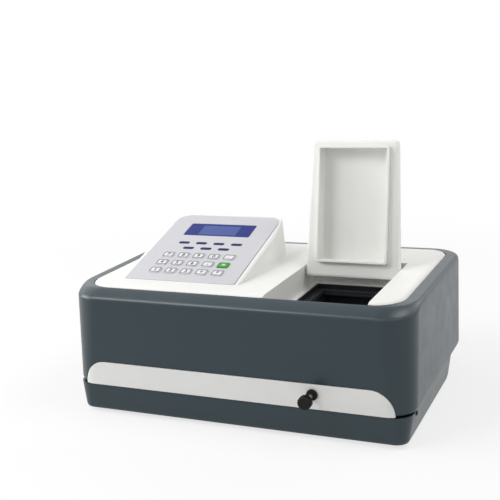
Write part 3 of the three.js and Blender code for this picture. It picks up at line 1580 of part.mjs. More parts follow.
const slope = new THREE.Group();
slope.position.set(consoleX, consoleFootY, consoleFootZ);
slope.rotation.x = consoleSlope;
working.add(slope);
addPiece(slope, "panel_overlay", panelOverlay(), "film");
addPiece(slope, "lcd_window", lcdWindow(), "windowBlue");
addPiece(slope, "lcd_module", lcdModule(), "board");
addPiece(slope, "keypad_board", keypadBoard(), "board");
keyPlaces().forEach(({ name, x, y }) => {
  const key = addPiece(slope, name, keyCap(), name === "key_2_5" ? "greenKey" : "key");
  key.position.set(x, y, 0);
});

const openLid = new THREE.Group();
openLid.position.set(channelX, hingeY, hingeZ);
openLid.rotation.x = -lidOpenAngle;
working.add(openLid);
addPiece(openLid, "lid_shell", lidShell(), "white");
addPiece(openLid, "lid_liner", lidLiner(), "white");
const pin = addPiece(working, "lid_pin", lidPin(), "steel");
pin.position.set(channelX, hingeY, hingeZ);
addPiece(working, "lid_pad", lidPad(), "rubber");

addPiece(working, "compartment_tub", compartmentTub(), "blackPlastic");
addPiece(working, "compartment_seal", compartmentSeal(), "foam");
addPiece(working, "cell_carriage", cellCarriage(), "blackPlastic");
addPiece(working, "carriage_rails", carriageRails(), "steel");
addPiece(working, "pull_rod", pullRod(), "steel");
addPiece(working, "rod_knob", rodKnob(), "blackPlastic");
addPiece(working, "rod_bush", rodBush(), "blackPlastic");

addPiece(working, "rear_panel", rearPanel(), "sheetMetal");
addPiece(working, "mains_inlet", mainsInlet(), "blackPlastic");
addPiece(working, "switch_frame", switchFrame(), "blackPlastic");
const rocker = addPiece(working, "power_rocker", powerRocker(), "blackPlastic");
rocker.position.set(switchX, rockerPivotY, inletZ);
rocker.rotation.x = rockerTilt;
addPiece(working, "data_port", dataPort(), "sheetMetal");
addPiece(working, "fan_frame", fanFrame(), "blackPlastic");
const rotor = addPiece(working, "fan_rotor", fanRotor(), "blackPlastic");
rotor.position.set(fanX, 0, fanZ);

addPiece(working, "mono_housing", monoHousing(), "castMetal");
const table = new THREE.Group();
table.position.set(gratingX, gratingY, 0);
working.add(table);
addPiece(table, "grating_table", gratingTable(), "castMetal");
addPiece(table, "grating", grating(), "glass");
const screw = addPiece(working, "drive_screw", driveScrew(), "steel");
screw.position.set(screwX, 0, screwZ);
const nut = addPiece(working, "drive_nut", driveNut(), "brass");
nut.position.set(gratingX - armLength, gratingY, screwZ);
addPiece(working, "drive_motor", driveMotor(), "castMetal");
addPiece(working, "mirror_mount", mirrorMount(), "castMetal");
const wheel = addPiece(working, "filter_wheel", filterWheel(), "blackPlastic");
wheel.position.set(slitX + wheelHoleCircle, 0, beamZ);
addPiece(working, "filter_motor", filterMotor(), "castMetal");
addPiece(working, "lamp_house", lampHouse(), "sheetMetal");
addPiece(working, "lamp", lamp(), "glass");
addPiece(working, "detector_house", detectorHouse(), "castMetal");
addPiece(working, "detector_board", detectorBoard(), "board");
addPiece(working, "main_board", mainBoard(), "board");
addPiece(working, "power_supply", powerSupply(), "sheetMetal");

export default photometer;
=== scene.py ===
"""Looks of the bench photometer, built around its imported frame.

Lengths in the classes are millimetres in the instrument's working frame: X to the operator's right, Y back
from the front face, Z up from the underside of the base. One function, row, turns them into row metres.
"""

import json
import logging
import math
from collections.abc import Iterable, Sequence
from dataclasses import dataclass, field
from enum import Enum, StrEnum
from typing import Any

import bmesh
import bpy
from bpy.types import ID, Material, Mesh, Node, NodeSocket, NodeTree, Object, World
from mathutils import Matrix, Vector


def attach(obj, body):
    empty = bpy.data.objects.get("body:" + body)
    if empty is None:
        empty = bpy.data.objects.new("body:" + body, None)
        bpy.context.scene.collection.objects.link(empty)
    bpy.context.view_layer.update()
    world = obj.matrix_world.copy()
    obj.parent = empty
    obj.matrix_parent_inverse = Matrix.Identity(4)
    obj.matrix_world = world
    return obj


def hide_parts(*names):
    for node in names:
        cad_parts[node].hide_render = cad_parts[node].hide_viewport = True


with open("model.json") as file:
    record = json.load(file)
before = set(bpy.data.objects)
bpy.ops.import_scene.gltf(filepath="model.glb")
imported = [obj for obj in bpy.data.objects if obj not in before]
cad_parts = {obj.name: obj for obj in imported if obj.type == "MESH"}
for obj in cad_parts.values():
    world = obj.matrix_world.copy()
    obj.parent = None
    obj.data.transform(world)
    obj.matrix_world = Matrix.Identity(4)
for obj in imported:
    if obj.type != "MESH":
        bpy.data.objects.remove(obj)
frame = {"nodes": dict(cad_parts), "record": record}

log = logging.getLogger("photometer")

MM = 0.001
SHIFT_Y = -140.25
SHIFT_Z = 5.0
INK_THICK = 0.06
INK_LIFT = 0.01
INK_SPREAD = 0.022  # how far a sign's strokes are widened, as a share of its height
CORNER_STEPS = 6
NOISE = "ShaderNodeTexNoise"
RANGE = "ShaderNodeMapRange"

Pair = tuple[float, float]
Triple = tuple[float, float, float]
Outline = Sequence[Pair]


class Body(StrEnum):
    """The bodies that the small added parts ride on."""

    BASE = "base"
    CARRIAGE = "carriage"
    ROCKER = "rocker"


class Axis(Enum):
    """A row axis that lines follow, or that a small part points along."""

    X = 0
    Y = 1


def row(x: float, y: float, z: float) -> Vector:
    """Turns working millimetres into row metres.

    Args:
        x: millimetres to the right.
        y: millimetres back from the front face.
        z: millimetres up from the base's underside.

    Returns:
        The point in the row frame.
    """
    return Vector((x * MM, (y + SHIFT_Y) * MM, (z + SHIFT_Z) * MM))


def linear(colour: str) -> tuple[float, float, float, float]:
    """Turns an sRGB hex colour into linear values.

    Args:
        colour: six hex digits.

    Returns:
        Linear red, green, blue and an alpha of 1.
    """
    parts = [int(colour[i : i + 2], 16) / 255 for i in (0, 2, 4)]
    return (*[c / 12.92 if c <= 0.04045 else ((c + 0.055) / 1.055) ** 2.4 for c in parts], 1.0)


def per_mm(size: float) -> float:
    """Gives the texture scale at which a pattern repeats every size millimetres."""
    return 1.0 / (size * MM)


def blobs(where: NodeSocket, size: float, detail: float = 2.0) -> dict[str, Any]:
    """Gives a noise's inputs for a real size.

    Args:
        where: the coordinates it reads.
        size: millimetres from blob to blob.
        detail: how many finer layers it has.

    Returns:
        The inputs by name.
    """
    return {"Vector": where, "Scale": per_mm(size), "Detail": detail, "Roughness": 0.55}


def between(value: NodeSocket, low: float, high: float, start: float = 0.3,
            stop: float = 0.7) -> dict[str, Any]:
    """Gives a map range's inputs.

    Args:
        value: what is mapped, such as a noise.
        low: the result where the value is at start.
        high: the result where the value is at stop.
        start: the value's lower end.
        stop: the value's upper end.

    Returns:
        The inputs by name.
    """
    return {"Value": value, "From Min": start, "From Max": stop, "To Min": low, "To Max": high}


def empty_tree(owner: Material | World) -> NodeTree:
    """Gives the emptied node tree of a material or a world."""
    owner.use_nodes = True
    owner.node_tree.nodes.clear()
    return owner.node_tree


def add_node(tree: NodeTree, kind: str, inputs: dict[Any, Any] | None = None, **settings: Any) -> Node:
    """Adds a node with its settings, socket values and links.

    Args:
        tree: the tree that gets the node.
        kind: the node's type name.
        inputs: socket name or index to a value, or to an output socket that is linked to it.
        settings: properties of the node.

    Returns:
        The new node.
    """
    node = tree.nodes.new(kind)
    for key, value in settings.items():
        setattr(node, key, value)
    for key, value in (inputs or {}).items():
        if isinstance(value, NodeSocket):
            tree.links.new(value, node.inputs[key])
        else:
            node.inputs[key].default_value = value
    return node


# Finishes


@dataclass(frozen=True)
class Finish:
    """A surface finish: what it is made of and how it was made.

    The shader's plain values are set here, and texture adds what varies over the surface.
    """

    name: str
    colour: str
    roughness: float = 0.45
    metallic: float = 0.0
    ior: float = 1.5

    def material(self) -> Material:
        """Gives the finish's material, built once.

        Returns:
            The material.
        """
        made = bpy.data.materials.get(self.name)
        if made:
            return made
        made = bpy.data.materials.new(self.name)
        made.diffuse_color = linear(self.colour)
        tree = empty_tree(made)
        shader = add_node(tree, "ShaderNodeBsdfPrincipled", {
            "Base Color": linear(self.colour), "Roughness": self.roughness,
            "Metallic": self.metallic, "IOR": self.ior,
        })
        where = add_node(tree, "ShaderNodeTexCoord").outputs["Object"]
        self.texture(tree, shader, where)
        add_node(tree, "ShaderNodeOutputMaterial", {"Surface": shader.outputs[0]})
        return made

    def texture(self, tree: NodeTree, shader: Node, where: NodeSocket) -> None:
        """Adds what varies over the surface. The plain finish adds nothing."""

    def paint(self, tree: NodeTree, shader: Node, share: NodeSocket, second: str) -> None:
        """Mixes the finish's colour with a second one.

        Args:
            tree: the material's tree.
            shader: the shader that gets the colour.
            share: 0 for the finish's own colour, 1 for the second.
            second: sRGB hex.
        """
        inputs = {0: share, 6: linear(self.colour), 7: linear(second)}
        mixed = add_node(tree, "ShaderNodeMix", inputs, data_type="RGBA").outputs[2]
        tree.links.new(mixed, shader.inputs["Base Color"])

    def gloss(self, tree: NodeTree, shader: Node, value: NodeSocket, less: float, more: float,
              start: float = 0.3, stop: float = 0.7) -> None:
        """Varies the roughness about the finish's own.

        Args:
            tree: the material's tree.
            shader: the shader that gets the roughness.
            value: the noise that it follows.
            less: how far it falls where the noise is at start.
            more: how far it rises where the noise is at stop.
            start: the noise's lower end.
            stop: the noise's upper end.
        """
        inputs = between(value, self.roughness - less, self.roughness + more, start, stop)
        rough = add_node(tree, RANGE, inputs).outputs[0]
        tree.links.new(rough, shader.inputs["Roughness"])

    def relief(self, tree: NodeTree, shader: Node, height: NodeSocket, depth: float,
               strength: float) -> None:
        """Bumps the surface by a height.

        Args:
            tree: the material's tree.
            shader: the shader that gets the normal.
            height: the height's socket, 0 to 1.
            depth: millimetres that a height of 1 stands up.
            strength: the bump's share.
        """
        inputs = {"Height": height, "Distance": depth * MM, "Strength": strength}
        bump = add_node(tree, "ShaderNodeBump", inputs).outputs[0]
        tree.links.new(bump, shader.inputs["Normal"])


@dataclass(frozen=True)
class Moulded(Finish):
    """Injection-moulded ABS or polycarbonate with a spark-eroded grain.

    The eye gets a soft broad highlight, broken up very slightly, and a colour that drifts a little where
    hands have rubbed it. The real grain is about 0.2 mm; it is drawn coarser, so that it shows. The marks
    take little off the roughness: dark contours showed in the render where it fell below about 0.27.
    """

    worn: str = field(kw_only=True)
    grain: float = 0.9
    depth: float = 0.02
    drift: float = 70.0
    mark_share: float = 0.35

    def texture(self, tree: NodeTree, shader: Node, where: NodeSocket) -> None:
        """Adds colour drift, handling marks in the gloss, and the grain."""
        slow = add_node(tree, NOISE, blobs(where, self.drift)).outputs[0]
        self.paint(tree, shader, slow, self.worn)
        marks = add_node(tree, NOISE, blobs(where, self.drift * self.mark_share, detail=3.0)).outputs[0]
        self.gloss(tree, shader, marks, less=0.03, more=0.07, start=0.2, stop=0.8)
        grain = add_node(tree, NOISE, blobs(where, self.grain)).outputs[0]
        self.relief(tree, shader, grain, self.depth, strength=0.6)


@dataclass(frozen=True)
class Film(Moulded):
    """Polyester film or key dome: cool, even and matt, with hardly any grain.

    The real grain is under 0.1 mm; it is drawn coarser, so that it shows.
    """

    grain: float = 0.5
    depth: float = 0.006
    drift: float = 12.0


@dataclass(frozen=True)
class Ink(Moulded):
    """Screen-printed ink: a flat, matt coat with almost no highlight."""

    roughness: float = 0.6
    ior: float = 1.3
    grain: float = 0.5
    depth: float = 0.004
    drift: float = 10.0


@dataclass(frozen=True)
class Soft(Finish):
    """Moulded rubber or open-cell foam: no gloss, a dusty bloom and small pits.

    The foam's cells are about 1 mm. The rubber's real pits are finer, and drawn coarser to show.
    """

    bloom: str = "3a3a3a"
    dust: float = 9.0
    pit: float = 1.4
    depth: float = 0.15

    def texture(self, tree: NodeTree, shader: Node, where: NodeSocket) -> None:
        """Adds the bloom and the pits."""
        dust = add_node(tree, NOISE, blobs(where, self.dust, detail=4.0)).outputs[0]
        share = add_node(tree, RANGE, between(dust, low=0.0, high=0.6)).outputs[0]
        self.paint(tree, shader, share, self.bloom)
        pits = add_node(tree, "ShaderNodeTexVoronoi", {"Vector": where, "Scale": per_mm(self.pit)})
        self.relief(tree, shader, pits.outputs["Distance"], self.depth, strength=0.8)


@dataclass(frozen=True)
class Ground(Finish):
    """Ground, drawn or turned metal: fine lines along one axis that stretch the highlight.

    The real lines are about 0.05 mm apart; they are drawn coarser, so that they show.
    """

    lines: Axis = Axis.Y
    line: float = 0.5
    stretch: float = 0.02
    depth: float = 0.01
    dull: str = "9c9fa1"

    def texture(self, tree: NodeTree, shader: Node, where: NodeSocket) -> None:
        """Adds the lines to the colour, the gloss and the relief."""
        scale = [1.0, 1.0, 1.0]
        scale[self.lines.value] = self.stretch
        stretched = add_node(tree, "ShaderNodeMapping", {"Vector": where, "Scale": tuple(scale)}).outputs[0]
        lines = add_node(tree, NOISE, blobs(stretched, self.line, detail=3.0)).outputs[0]
        share = add_node(tree, RANGE, between(lines, low=0.0, high=1.0)).outputs[0]
        self.paint(tree, shader, share, self.dull)
        self.gloss(tree, shader, lines, less=0.08, more=0.12)
        self.relief(tree, shader, lines, self.depth, strength=0.5)


@dataclass(frozen=True)
class Cast(Finish):
    """Sand- or die-cast aluminium: a grey skin with a coarse grain and darker blotches.

    The real grain is about 0.4 mm, and drawn coarser to show.
    """

    blotch: str = "585c5e"
    blotch_size: float = 14.0
    grain: float = 1.1
    depth: float = 0.12

    def texture(self, tree: NodeTree, shader: Node, where: NodeSocket) -> None:
        """Adds the blotches and the grain."""
        clouds = add_node(tree, NOISE, blobs(where, self.blotch_size, detail=4.0)).outputs[0]
        blotches = add_node(tree, RANGE, between(clouds, low=0.0, high=1.0)).outputs[0]
        self.paint(tree, shader, blotches, self.blotch)
        self.gloss(tree, shader, blotches, less=0.0, more=0.15, start=0.0, stop=1.0)
        grain = add_node(tree, NOISE, blobs(where, self.grain, detail=3.0)).outputs[0]
        self.relief(tree, shader, grain, self.depth, strength=0.7)


@dataclass(frozen=True)
class Plated(Finish):
    """Zinc-plated sheet: cool metal with faint spangles and handling smears.

    The real grain between the spangles is about 0.1 mm, and drawn coarser to show.
    """

    spangle: float = 6.0
    smear: float = 22.0
    grain: float = 0.8
    depth: float = 0.01
    dark: str = "b6babc"

    def texture(self, tree: NodeTree, shader: Node, where: NodeSocket) -> None:
        """Adds the spangles and the smears."""
        cells = add_node(tree, "ShaderNodeTexVoronoi", {"Vector": where, "Scale": per_mm(self.spangle)})
        self.paint(tree, shader, cells.outputs["Color"], self.dark)
        smears = add_node(tree, NOISE, blobs(where, self.smear, detail=4.0)).outputs[0]
        self.gloss(tree, shader, smears, less=0.06, more=0.14)
        grain = add_node(tree, NOISE, blobs(where, self.grain)).outputs[0]
        self.relief(tree, shader, grain, self.depth, strength=0.4)


@dataclass(frozen=True)
class Clear(Finish):
    """Clear glass: it lets the light through, with a trace of dust in its gloss."""

    dust: float = 5.0

    def texture(self, tree: NodeTree, shader: Node, where: NodeSocket) -> None:
        """Adds the transmission and the dust."""
        shader.inputs["Transmission Weight"].default_value = 1.0
        dust = add_node(tree, NOISE, blobs(where, self.dust, detail=5.0)).outputs[0]
        self.gloss(tree, shader, dust, less=0.0, more=0.08)


@dataclass(frozen=True)
class Masked(Finish):
    """Green solder mask over copper tracks that show as faint straight lines."""

    track: str = "2c7a50"
    pitch: float = 2.54
    gap: float = 0.06
    depth: float = 0.035

    def texture(self, tree: NodeTree, shader: Node, where: NodeSocket) -> None:
        """Adds the tracks."""
        blocks = {"Vector": where, "Scale": per_mm(self.pitch), "Mortar Size": self.gap}
        tracks = add_node(tree, "ShaderNodeTexBrick", blocks, offset=0.35, squash=1.6).outputs["Fac"]
        self.paint(tree, shader, tracks, self.track)
        self.relief(tree, shader, tracks, self.depth, strength=0.6)


@dataclass(frozen=True)
class Backlit(Finish):
    """A blue display under clear acrylic: a dark surround and a paler active field with its dot grid."""

    field_colour: str = "455898"
    centre: Triple = (0.0, 0.0, 0.0)
    tilt: float = 0.0
    half_size: Pair = (29.3, 13.6)
    fade: float = 1.2
    dot: float = 1.9
    gap: float = 0.07
    gap_tone: float = 0.8

    def texture(self, tree: NodeTree, shader: Node, where: NodeSocket) -> None:
        """Adds the active field and its dots."""
        origin = tuple(row(*self.centre))
        moved = add_node(tree, "ShaderNodeVectorMath", {0: where, 1: origin}, operation="SUBTRACT")
        level = add_node(tree, "ShaderNodeVectorRotate", {
            "Vector": moved.outputs[0], "Axis": (1.0, 0.0, 0.0), "Angle": -self.tilt,
        }).outputs[0]
        parts = add_node(tree, "ShaderNodeSeparateXYZ", {0: level}).outputs
        inside = []
        for axis, reach in enumerate(self.half_size):
            away = add_node(tree, "ShaderNodeMath", {0: parts[axis]}, operation="ABSOLUTE").outputs[0]
            edge = between(away, 1.0, 0.0, start=(reach - self.fade) * MM, stop=reach * MM)
            inside.append(add_node(tree, RANGE, edge).outputs[0])
        within = add_node(tree, "ShaderNodeMath", dict(enumerate(inside)), operation="MULTIPLY").outputs[0]
        grid = add_node(tree, "ShaderNodeTexBrick", {
            "Vector": level, "Scale": per_mm(self.dot), "Mortar Size": self.gap,
            "Brick Width": 1.0, "Row Height": 1.0,
        }, offset=0.0).outputs["Fac"]
        tones = between(grid, low=1.0, high=self.gap_tone, start=0.0, stop=1.0)
        dots = add_node(tree, RANGE, tones).outputs[0]
        lit = add_node(tree, "ShaderNodeMath", {0: within, 1: dots}, operation="MULTIPLY").outputs[0]
        self.paint(tree, shader, lit, self.field_colour)


# The case: dark blue-grey with a soft broad sheen, and a matt pale band set into it.
SLATE = Moulded("abs_slate_fine_grain", "182b32", 0.31, worn="1c2f37", depth=0.006)
BAND = Moulded("abs_pale_band", "dededc", 0.42, worn="d8d8d5", grain=0.7, depth=0.01)
# The deck and the lid: a faintly warm white, duller than the case.
WHITE = Moulded("abs_white_fine_grain", "efefec", 0.46, worn="e9e9e5")
# The slope: a cool pale film with brighter keys, one of them green, and a dark line along its right edge that
# is painted shadow of the film's edge.
FILM = Film("polyester_film_matt", "c7c7cb", 0.42, worn="c3c3c8", drift=40.0)
# Painted shadow: a dark grey-blue line on the film's right edge that stands for the shade the edge casts.
FILM_EDGE_SHADOW = Ink("film_edge_shadow", "4d5370", 0.5, ior=1.5, worn="5a607c", drift=15.0)
KEY = Film("polyester_key_dome", "e3e3e5", 0.38, worn="dededf")
KEY_GREEN = Film("polyester_key_green", "479a3a", 0.42, ior=1.35, worn="429335")
# Prints: navy marks, grey rings and dark signs on the keys, and white signs on green or black. The grey ring
# is print and painted shade: it is drawn darker and wider to stand for the shade round each raised key.
INK = Ink("screen_ink_navy", "191b4c", worn="1d2052")
# Print and painted shade: the grey key ring, darker and wider than the outline alone, stands for the shade
# round each raised key.
KEY_RING_INK_AND_SHADE = Ink("screen_ink_grey", "76777d", worn="7e7f85")
INK_DARK = Ink("screen_ink_dark", "3a3b42", worn="42434a")
INK_GREEN = Ink("screen_ink_green", "2c7a2c", worn="338233")
INK_WHITE = Ink("screen_ink_white", "f2f2f0", 0.5, ior=1.5, worn="eaeae8")
# Blacks: the bluish tub, the deep knob, the greyer nylon, dusty rubber and pitted foam.
BLACK = Moulded("abs_black_matt", "15191c", 0.5, worn="1a1f23", grain=1.2, depth=0.03, drift=25.0)
KNOB = Moulded("phenolic_black", "060606", 0.55, ior=1.3, worn="0b0b0a", grain=0.8, drift=8.0)
NYLON = Moulded("nylon_black", "202124", 0.5, worn="2a2b2e", grain=0.8, drift=15.0)
RUBBER = Soft("nitrile_rubber_black", "1f1f1f", 0.85)
FOAM = Soft("open_cell_foam_black", "131417", 0.95, bloom="26272b", pit=1.0, depth=0.5)
# Metals: bright lines along shafts, dark screws, yellow pins and nut, dull castings, spangled sheet.
STEEL_X = Ground("ground_steel_along_x", "c2c4c5", 0.26, 1.0, lines=Axis.X)
STEEL_Y = Ground("ground_steel_along_y", "c2c4c5", 0.26, 1.0)
SCREW_STEEL = Ground("blackened_steel", "2a2b2d", 0.35, 0.9, lines=Axis.X, dull="1e1f20")
GOLD = Ground("gold_plated_pin", "d8b45a", 0.25, 1.0, dull="b8943f")
BRASS = Ground("turned_brass", "c8a458", 0.3, 1.0, lines=Axis.X, dull="a58544")
CAST = Cast("cast_aluminium", "85898b", 0.5, 0.85)
PLATED = Plated("zinc_plated_sheet", "c6c9cb", 0.36, 0.9)
# Optics and boards: clear bulb, mirror-bright faces, green mask.
QUARTZ = Clear("fused_quartz", "f4f6f6", 0.03, ior=1.46)
SILVERED = Plated("silvered_glass", "d6dde0", 0.06, 1.0, spangle=40.0, dark="cdd5d9")
MASK = Masked("solder_mask_green", "1d5636", 0.4)


# Mesh helpers


def smooth(mesh: Mesh, degrees: float = 32.0) -> None:
    """Smooths a mesh's shading, except over edges sharper than an angle.

    Args:
        mesh: the mesh.
        degrees: the sharpest angle that still looks round.
    """
    mesh.shade_smooth()
    mesh.set_sharp_from_angle(angle=math.radians(degrees))


def new_object(name: str, data: ID) -> Object:
    """Makes an object and links it into the scene.

    Args:
        name: the object's name.
        data: its mesh, text, lamp or camera.

    Returns:
        The new object.
    """
    obj = bpy.data.objects.new(name, data)
    bpy.context.scene.collection.objects.link(obj)
    return obj


def evaluated(obj: Object) -> Mesh:
    """Gives an object's shape, with its modifiers, as a new mesh."""
    bpy.context.view_layer.update()
    graph = bpy.context.evaluated_depsgraph_get()
    return bpy.data.meshes.new_from_object(obj.evaluated_get(graph), depsgraph=graph)


def bake(obj: Object) -> None:
    """Turns an object's modifiers into its mesh."""
    mesh = evaluated(obj)
    obj.modifiers.clear()
    mesh.name = obj.data.name
    obj.data = mesh


def link(name: str, mesh: Mesh, finish: Finish) -> Object:
    """Puts a mesh into the scene with its finish.

    Args:
        name: the piece's name.
        mesh: its mesh, in row metres.
        finish: its finish.

    Returns:
        The new object.
    """
    mesh.materials.clear()
    mesh.materials.append(finish.material())
    return new_object(name, mesh)


def from_bmesh(name: str, bm: bmesh.types.BMesh, finish: Finish, place: Matrix | None = None) -> Object:
    """Finishes a bmesh as a piece.

    Args:
        name: the piece's name.
        bm: the shape, in metres, freed here.
        finish: its finish.
        place: what carries it from its own frame to the row frame.

    Returns:
        The new object.
    """
    bmesh.ops.remove_doubles(bm, verts=bm.verts, dist=1e-6)
    bmesh.ops.recalc_face_normals(bm, faces=bm.faces)
    if place is not None:
        bm.transform(place)
    mesh = bpy.data.meshes.new(name)
    bm.to_mesh(mesh)
    bm.free()
    smooth(mesh)
    return link(name, mesh, finish)


def rounded_outline(width: float, length: float, radius: float) -> Outline:
    """Gives the points of a rounded rectangle about the origin.

    Args:
        width: millimetres along X.
        length: millimetres along Y.
        radius: millimetres of corner radius.

    Returns:
        The points, counter-clockwise, in millimetres.
    """
    points = []
    for i, (sx, sy) in enumerate(((1, -1), (1, 1), (-1, 1), (-1, -1))):
        cx, cy = sx * (width / 2 - radius), sy * (length / 2 - radius)
        for k in range(CORNER_STEPS + 1):
            angle = math.pi / 2 * (i - 1 + k / CORNER_STEPS)
            points.append((cx + radius * math.cos(angle), cy + radius * math.sin(angle)))
    return points


def plate(name: str, outline: Outline, thick: float, finish: Finish, place: Matrix | None = None,
          hole: Outline | None = None) -> Object:
    """Makes a flat plate, or a ring with the same number of points inside.

    Args:
        name: the piece's name.
        outline: the outer points in millimetres.
        thick: millimetres of thickness, from zero up.
        finish: its finish.
        place: what carries it to the row frame.
        hole: the inner points of a ring.

    Returns:
        The new object.
    """
    bm = bmesh.new()
    loops = []
    for z, points in ((0.0, outline), (thick, outline), (thick, hole), (0.0, hole)):
        if points is not None:
            loops.append([bm.verts.new((x * MM, y * MM, z * MM)) for x, y in points])
    count = len(outline)
    pairs = list(zip(loops, loops[1:] + loops[:1])) if hole is not None else [(loops[0], loops[1])]
    for lower, upper in pairs:
        for i in range(count):
            j = (i + 1) % count
            bm.faces.new((lower[i], lower[j], upper[j], upper[i]))
    if hole is None:
        bm.faces.new(loops[1])
        bm.faces.new(list(reversed(loops[0])))
    return from_bmesh(name, bm, finish, place)


def turned(name: str, profile: Outline, finish: Finish, place: Matrix | None = None, sides: int = 36,
           hexagonal: Sequence[int] = ()) -> Object:
    """Makes a turned piece about Z from its profile.

    Args:
        name: the piece's name.
        profile: radius and height pairs in millimetres, starting and ending on the axis.
        finish: its finish.
        place: what carries it to the row frame.
        sides: its number of sides, a multiple of six where it has hexagonal rings.
        hexagonal: which rings of the profile are hexagons, such as a nut's flats or a socket.

    Returns:
        The new object.
    """
    bm = bmesh.new()
    rings = []
    sixth = math.pi / 3
    for index, (radius, z) in enumerate(profile):
        if radius <= 0:
            rings.append([bm.verts.new((0.0, 0.0, z * MM))])
            continue
        ring = []
        for angle in (2 * math.pi * i / sides for i in range(sides)):
            reach = radius * MM
            if index in hexagonal:
                reach *= math.cos(sixth / 2) / math.cos(angle % sixth - sixth / 2)
            ring.append(bm.verts.new((reach * math.cos(angle), reach * math.sin(angle), z * MM)))
        rings.append(ring)
    for lower, upper in zip(rings, rings[1:]):
        for i in range(sides):
            j = (i + 1) % sides
            corners = [ring[k % len(ring)] for ring, k in ((lower, i), (lower, j), (upper, j), (upper, i))]
            unique = list(dict.fromkeys(corners))
            if len(unique) > 2:
                bm.faces.new(unique)
    return from_bmesh(name, bm, finish, place)


def printed(name: str, sign: str, size: float, ink: Finish, place: Matrix) -> Object:
    """Prints a generic sign, such as a number, on a surface.

    Args:
        name: the piece's name.
        sign: the sign.
        size: millimetres of letter height.
        ink: its finish.
        place: what carries it to the row frame, with Z out of the surface.

    Returns:
        The sign as a mesh piece.
    """
    curve = bpy.data.curves.new(name, "FONT")
    curve.body = sign
    curve.size = size * MM
    curve.offset = INK_SPREAD * size * MM
    curve.align_x, curve.align_y = "CENTER", "CENTER"
    curve.extrude = INK_THICK * MM / 2
    curve.resolution_u = 3
    text = new_object(f"{name}_text", curve)
    mesh = evaluated(text)
    bpy.data.objects.remove(text, do_unlink=True)
    mesh.transform(place @ Matrix.Translation((0.0, 0.0, INK_THICK * MM / 2)))
    mesh.name = name
    return link(name, mesh, ink)


def ride(obj: Object, body: str, *nodes: str) -> None:
    """Lets a piece ride on a body and stand for CAD nodes.

    Args:
        obj: the piece.
        body: the body's name.
        nodes: the CAD nodes that it stands for.
    """
    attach(obj, body)
    if nodes:
        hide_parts(*nodes)
    log.info("%s rides on %s", obj.name, body)


def body_of_node(node: str) -> str:
    """Finds the body that a CAD node belongs to.

    Args:
        node: the node's name.

    Returns:
        The body's name.
    """
    bodies = frame["record"]["behaviour"]["bodies"]
    return next(name for name, nodes in bodies.items() if node in nodes)


@dataclass
class Dressed:
    """A CAD node's shape with its sharp edges broken as the real moulding or metal has them.

    Points within MERGE metres are merged, faces within FLAT degrees are made whole, and edges above
    SHARP degrees are rounded by edge millimetres. Large faces rule the shading, and it stands for the node.
    """

    node: str
    finish: Finish
    edge: float
    steps: int = 2

    MERGE = 2e-6
    FLAT = 0.4
    SHARP = 34.0
    FLAT_WEIGHT = 80

    def build(self) -> None:
        """Builds the piece, riding on its node's body."""
        bm = bmesh.new()
        bm.from_mesh(frame["nodes"][self.node].data)
        bmesh.ops.remove_doubles(bm, verts=bm.verts, dist=self.MERGE)
        bmesh.ops.dissolve_limit(bm, angle_limit=math.radians(self.FLAT), verts=bm.verts, edges=bm.edges)
        mesh = bpy.data.meshes.new(f"{self.node}_dressed")
        bm.to_mesh(mesh)
        bm.free()
        smooth(mesh, self.SHARP)
        obj = link(f"{self.node}_dressed", mesh, self.finish)
        bevel = obj.modifiers.new("edge", "BEVEL")
        bevel.width = self.edge * MM
        bevel.segments = self.steps
        bevel.limit_method = "ANGLE"
        bevel.angle_limit = math.radians(self.SHARP)
        bevel.use_clamp_overlap = True
        level = obj.modifiers.new("flat faces", "WEIGHTED_NORMAL")
        level.keep_sharp = True
        level.weight = self.FLAT_WEIGHT
        bake(obj)
        ride(obj, body_of_node(self.node), self.node)


@dataclass
class Copies:
    """Copies of one small piece in a row along X, made by Geometry Nodes."""

    name: str
    piece: Object
    finish: Finish
    count: int
    pitch: float

    TREE = "copies_in_a_row"

    def tree(self) -> NodeTree:
        """Gives the node tree, built once."""
        made = bpy.data.node_groups.get(self.TREE)
        if made:
            return made
        made = bpy.data.node_groups.new(self.TREE, "GeometryNodeTree")
        for title, kind in (("Count", "NodeSocketInt"), ("Pitch", "NodeSocketFloat"),
                            ("Piece", "NodeSocketObject"), ("Finish", "NodeSocketMaterial")):
            made.interface.new_socket(title, in_out="INPUT", socket_type=kind)
        made.interface.new_socket("Geometry", in_out="OUTPUT", socket_type="NodeSocketGeometry")
        given = add_node(made, "NodeGroupInput").outputs
        step = add_node(made, "ShaderNodeCombineXYZ", {0: given["Pitch"]}).outputs[0]
        points = add_node(made, "GeometryNodeMeshLine", {"Count": given["Count"], "Offset": step}).outputs[0]
        shape = add_node(made, "GeometryNodeObjectInfo", {"Object": given["Piece"]}).outputs["Geometry"]
        copies = add_node(made, "GeometryNodeInstanceOnPoints", {"Points": points, "Instance": shape})
        whole = add_node(made, "GeometryNodeRealizeInstances", {0: copies.outputs[0]}).outputs[0]
        dressed = add_node(made, "GeometryNodeSetMaterial", {"Geometry": whole, "Material": given["Finish"]})
        add_node(made, "NodeGroupOutput", {0: dressed.outputs[0]})
        return made

    def build(self, body: str, place: Matrix) -> None:
        """Builds the copies as one plain mesh.

        Args:
            body: the body that they ride on.
            place: what carries the first copy to the row frame.
        """
        obj = new_object(self.name, bpy.data.meshes.new(self.name))
        grow = obj.modifiers.new("copies", "NODES")
        grow.node_group = self.tree()
        values = {"Count": self.count, "Pitch": self.pitch * MM, "Piece": self.piece,
                  "Finish": self.finish.material()}
        for item in self.tree().interface.items_tree:
            if item.in_out == "INPUT":
                grow[item.identifier] = values[item.name]
        bake(obj)
        obj.data.transform(place)
        bpy.data.objects.remove(self.piece, do_unlink=True)
        ride(obj, body)


# The instrument


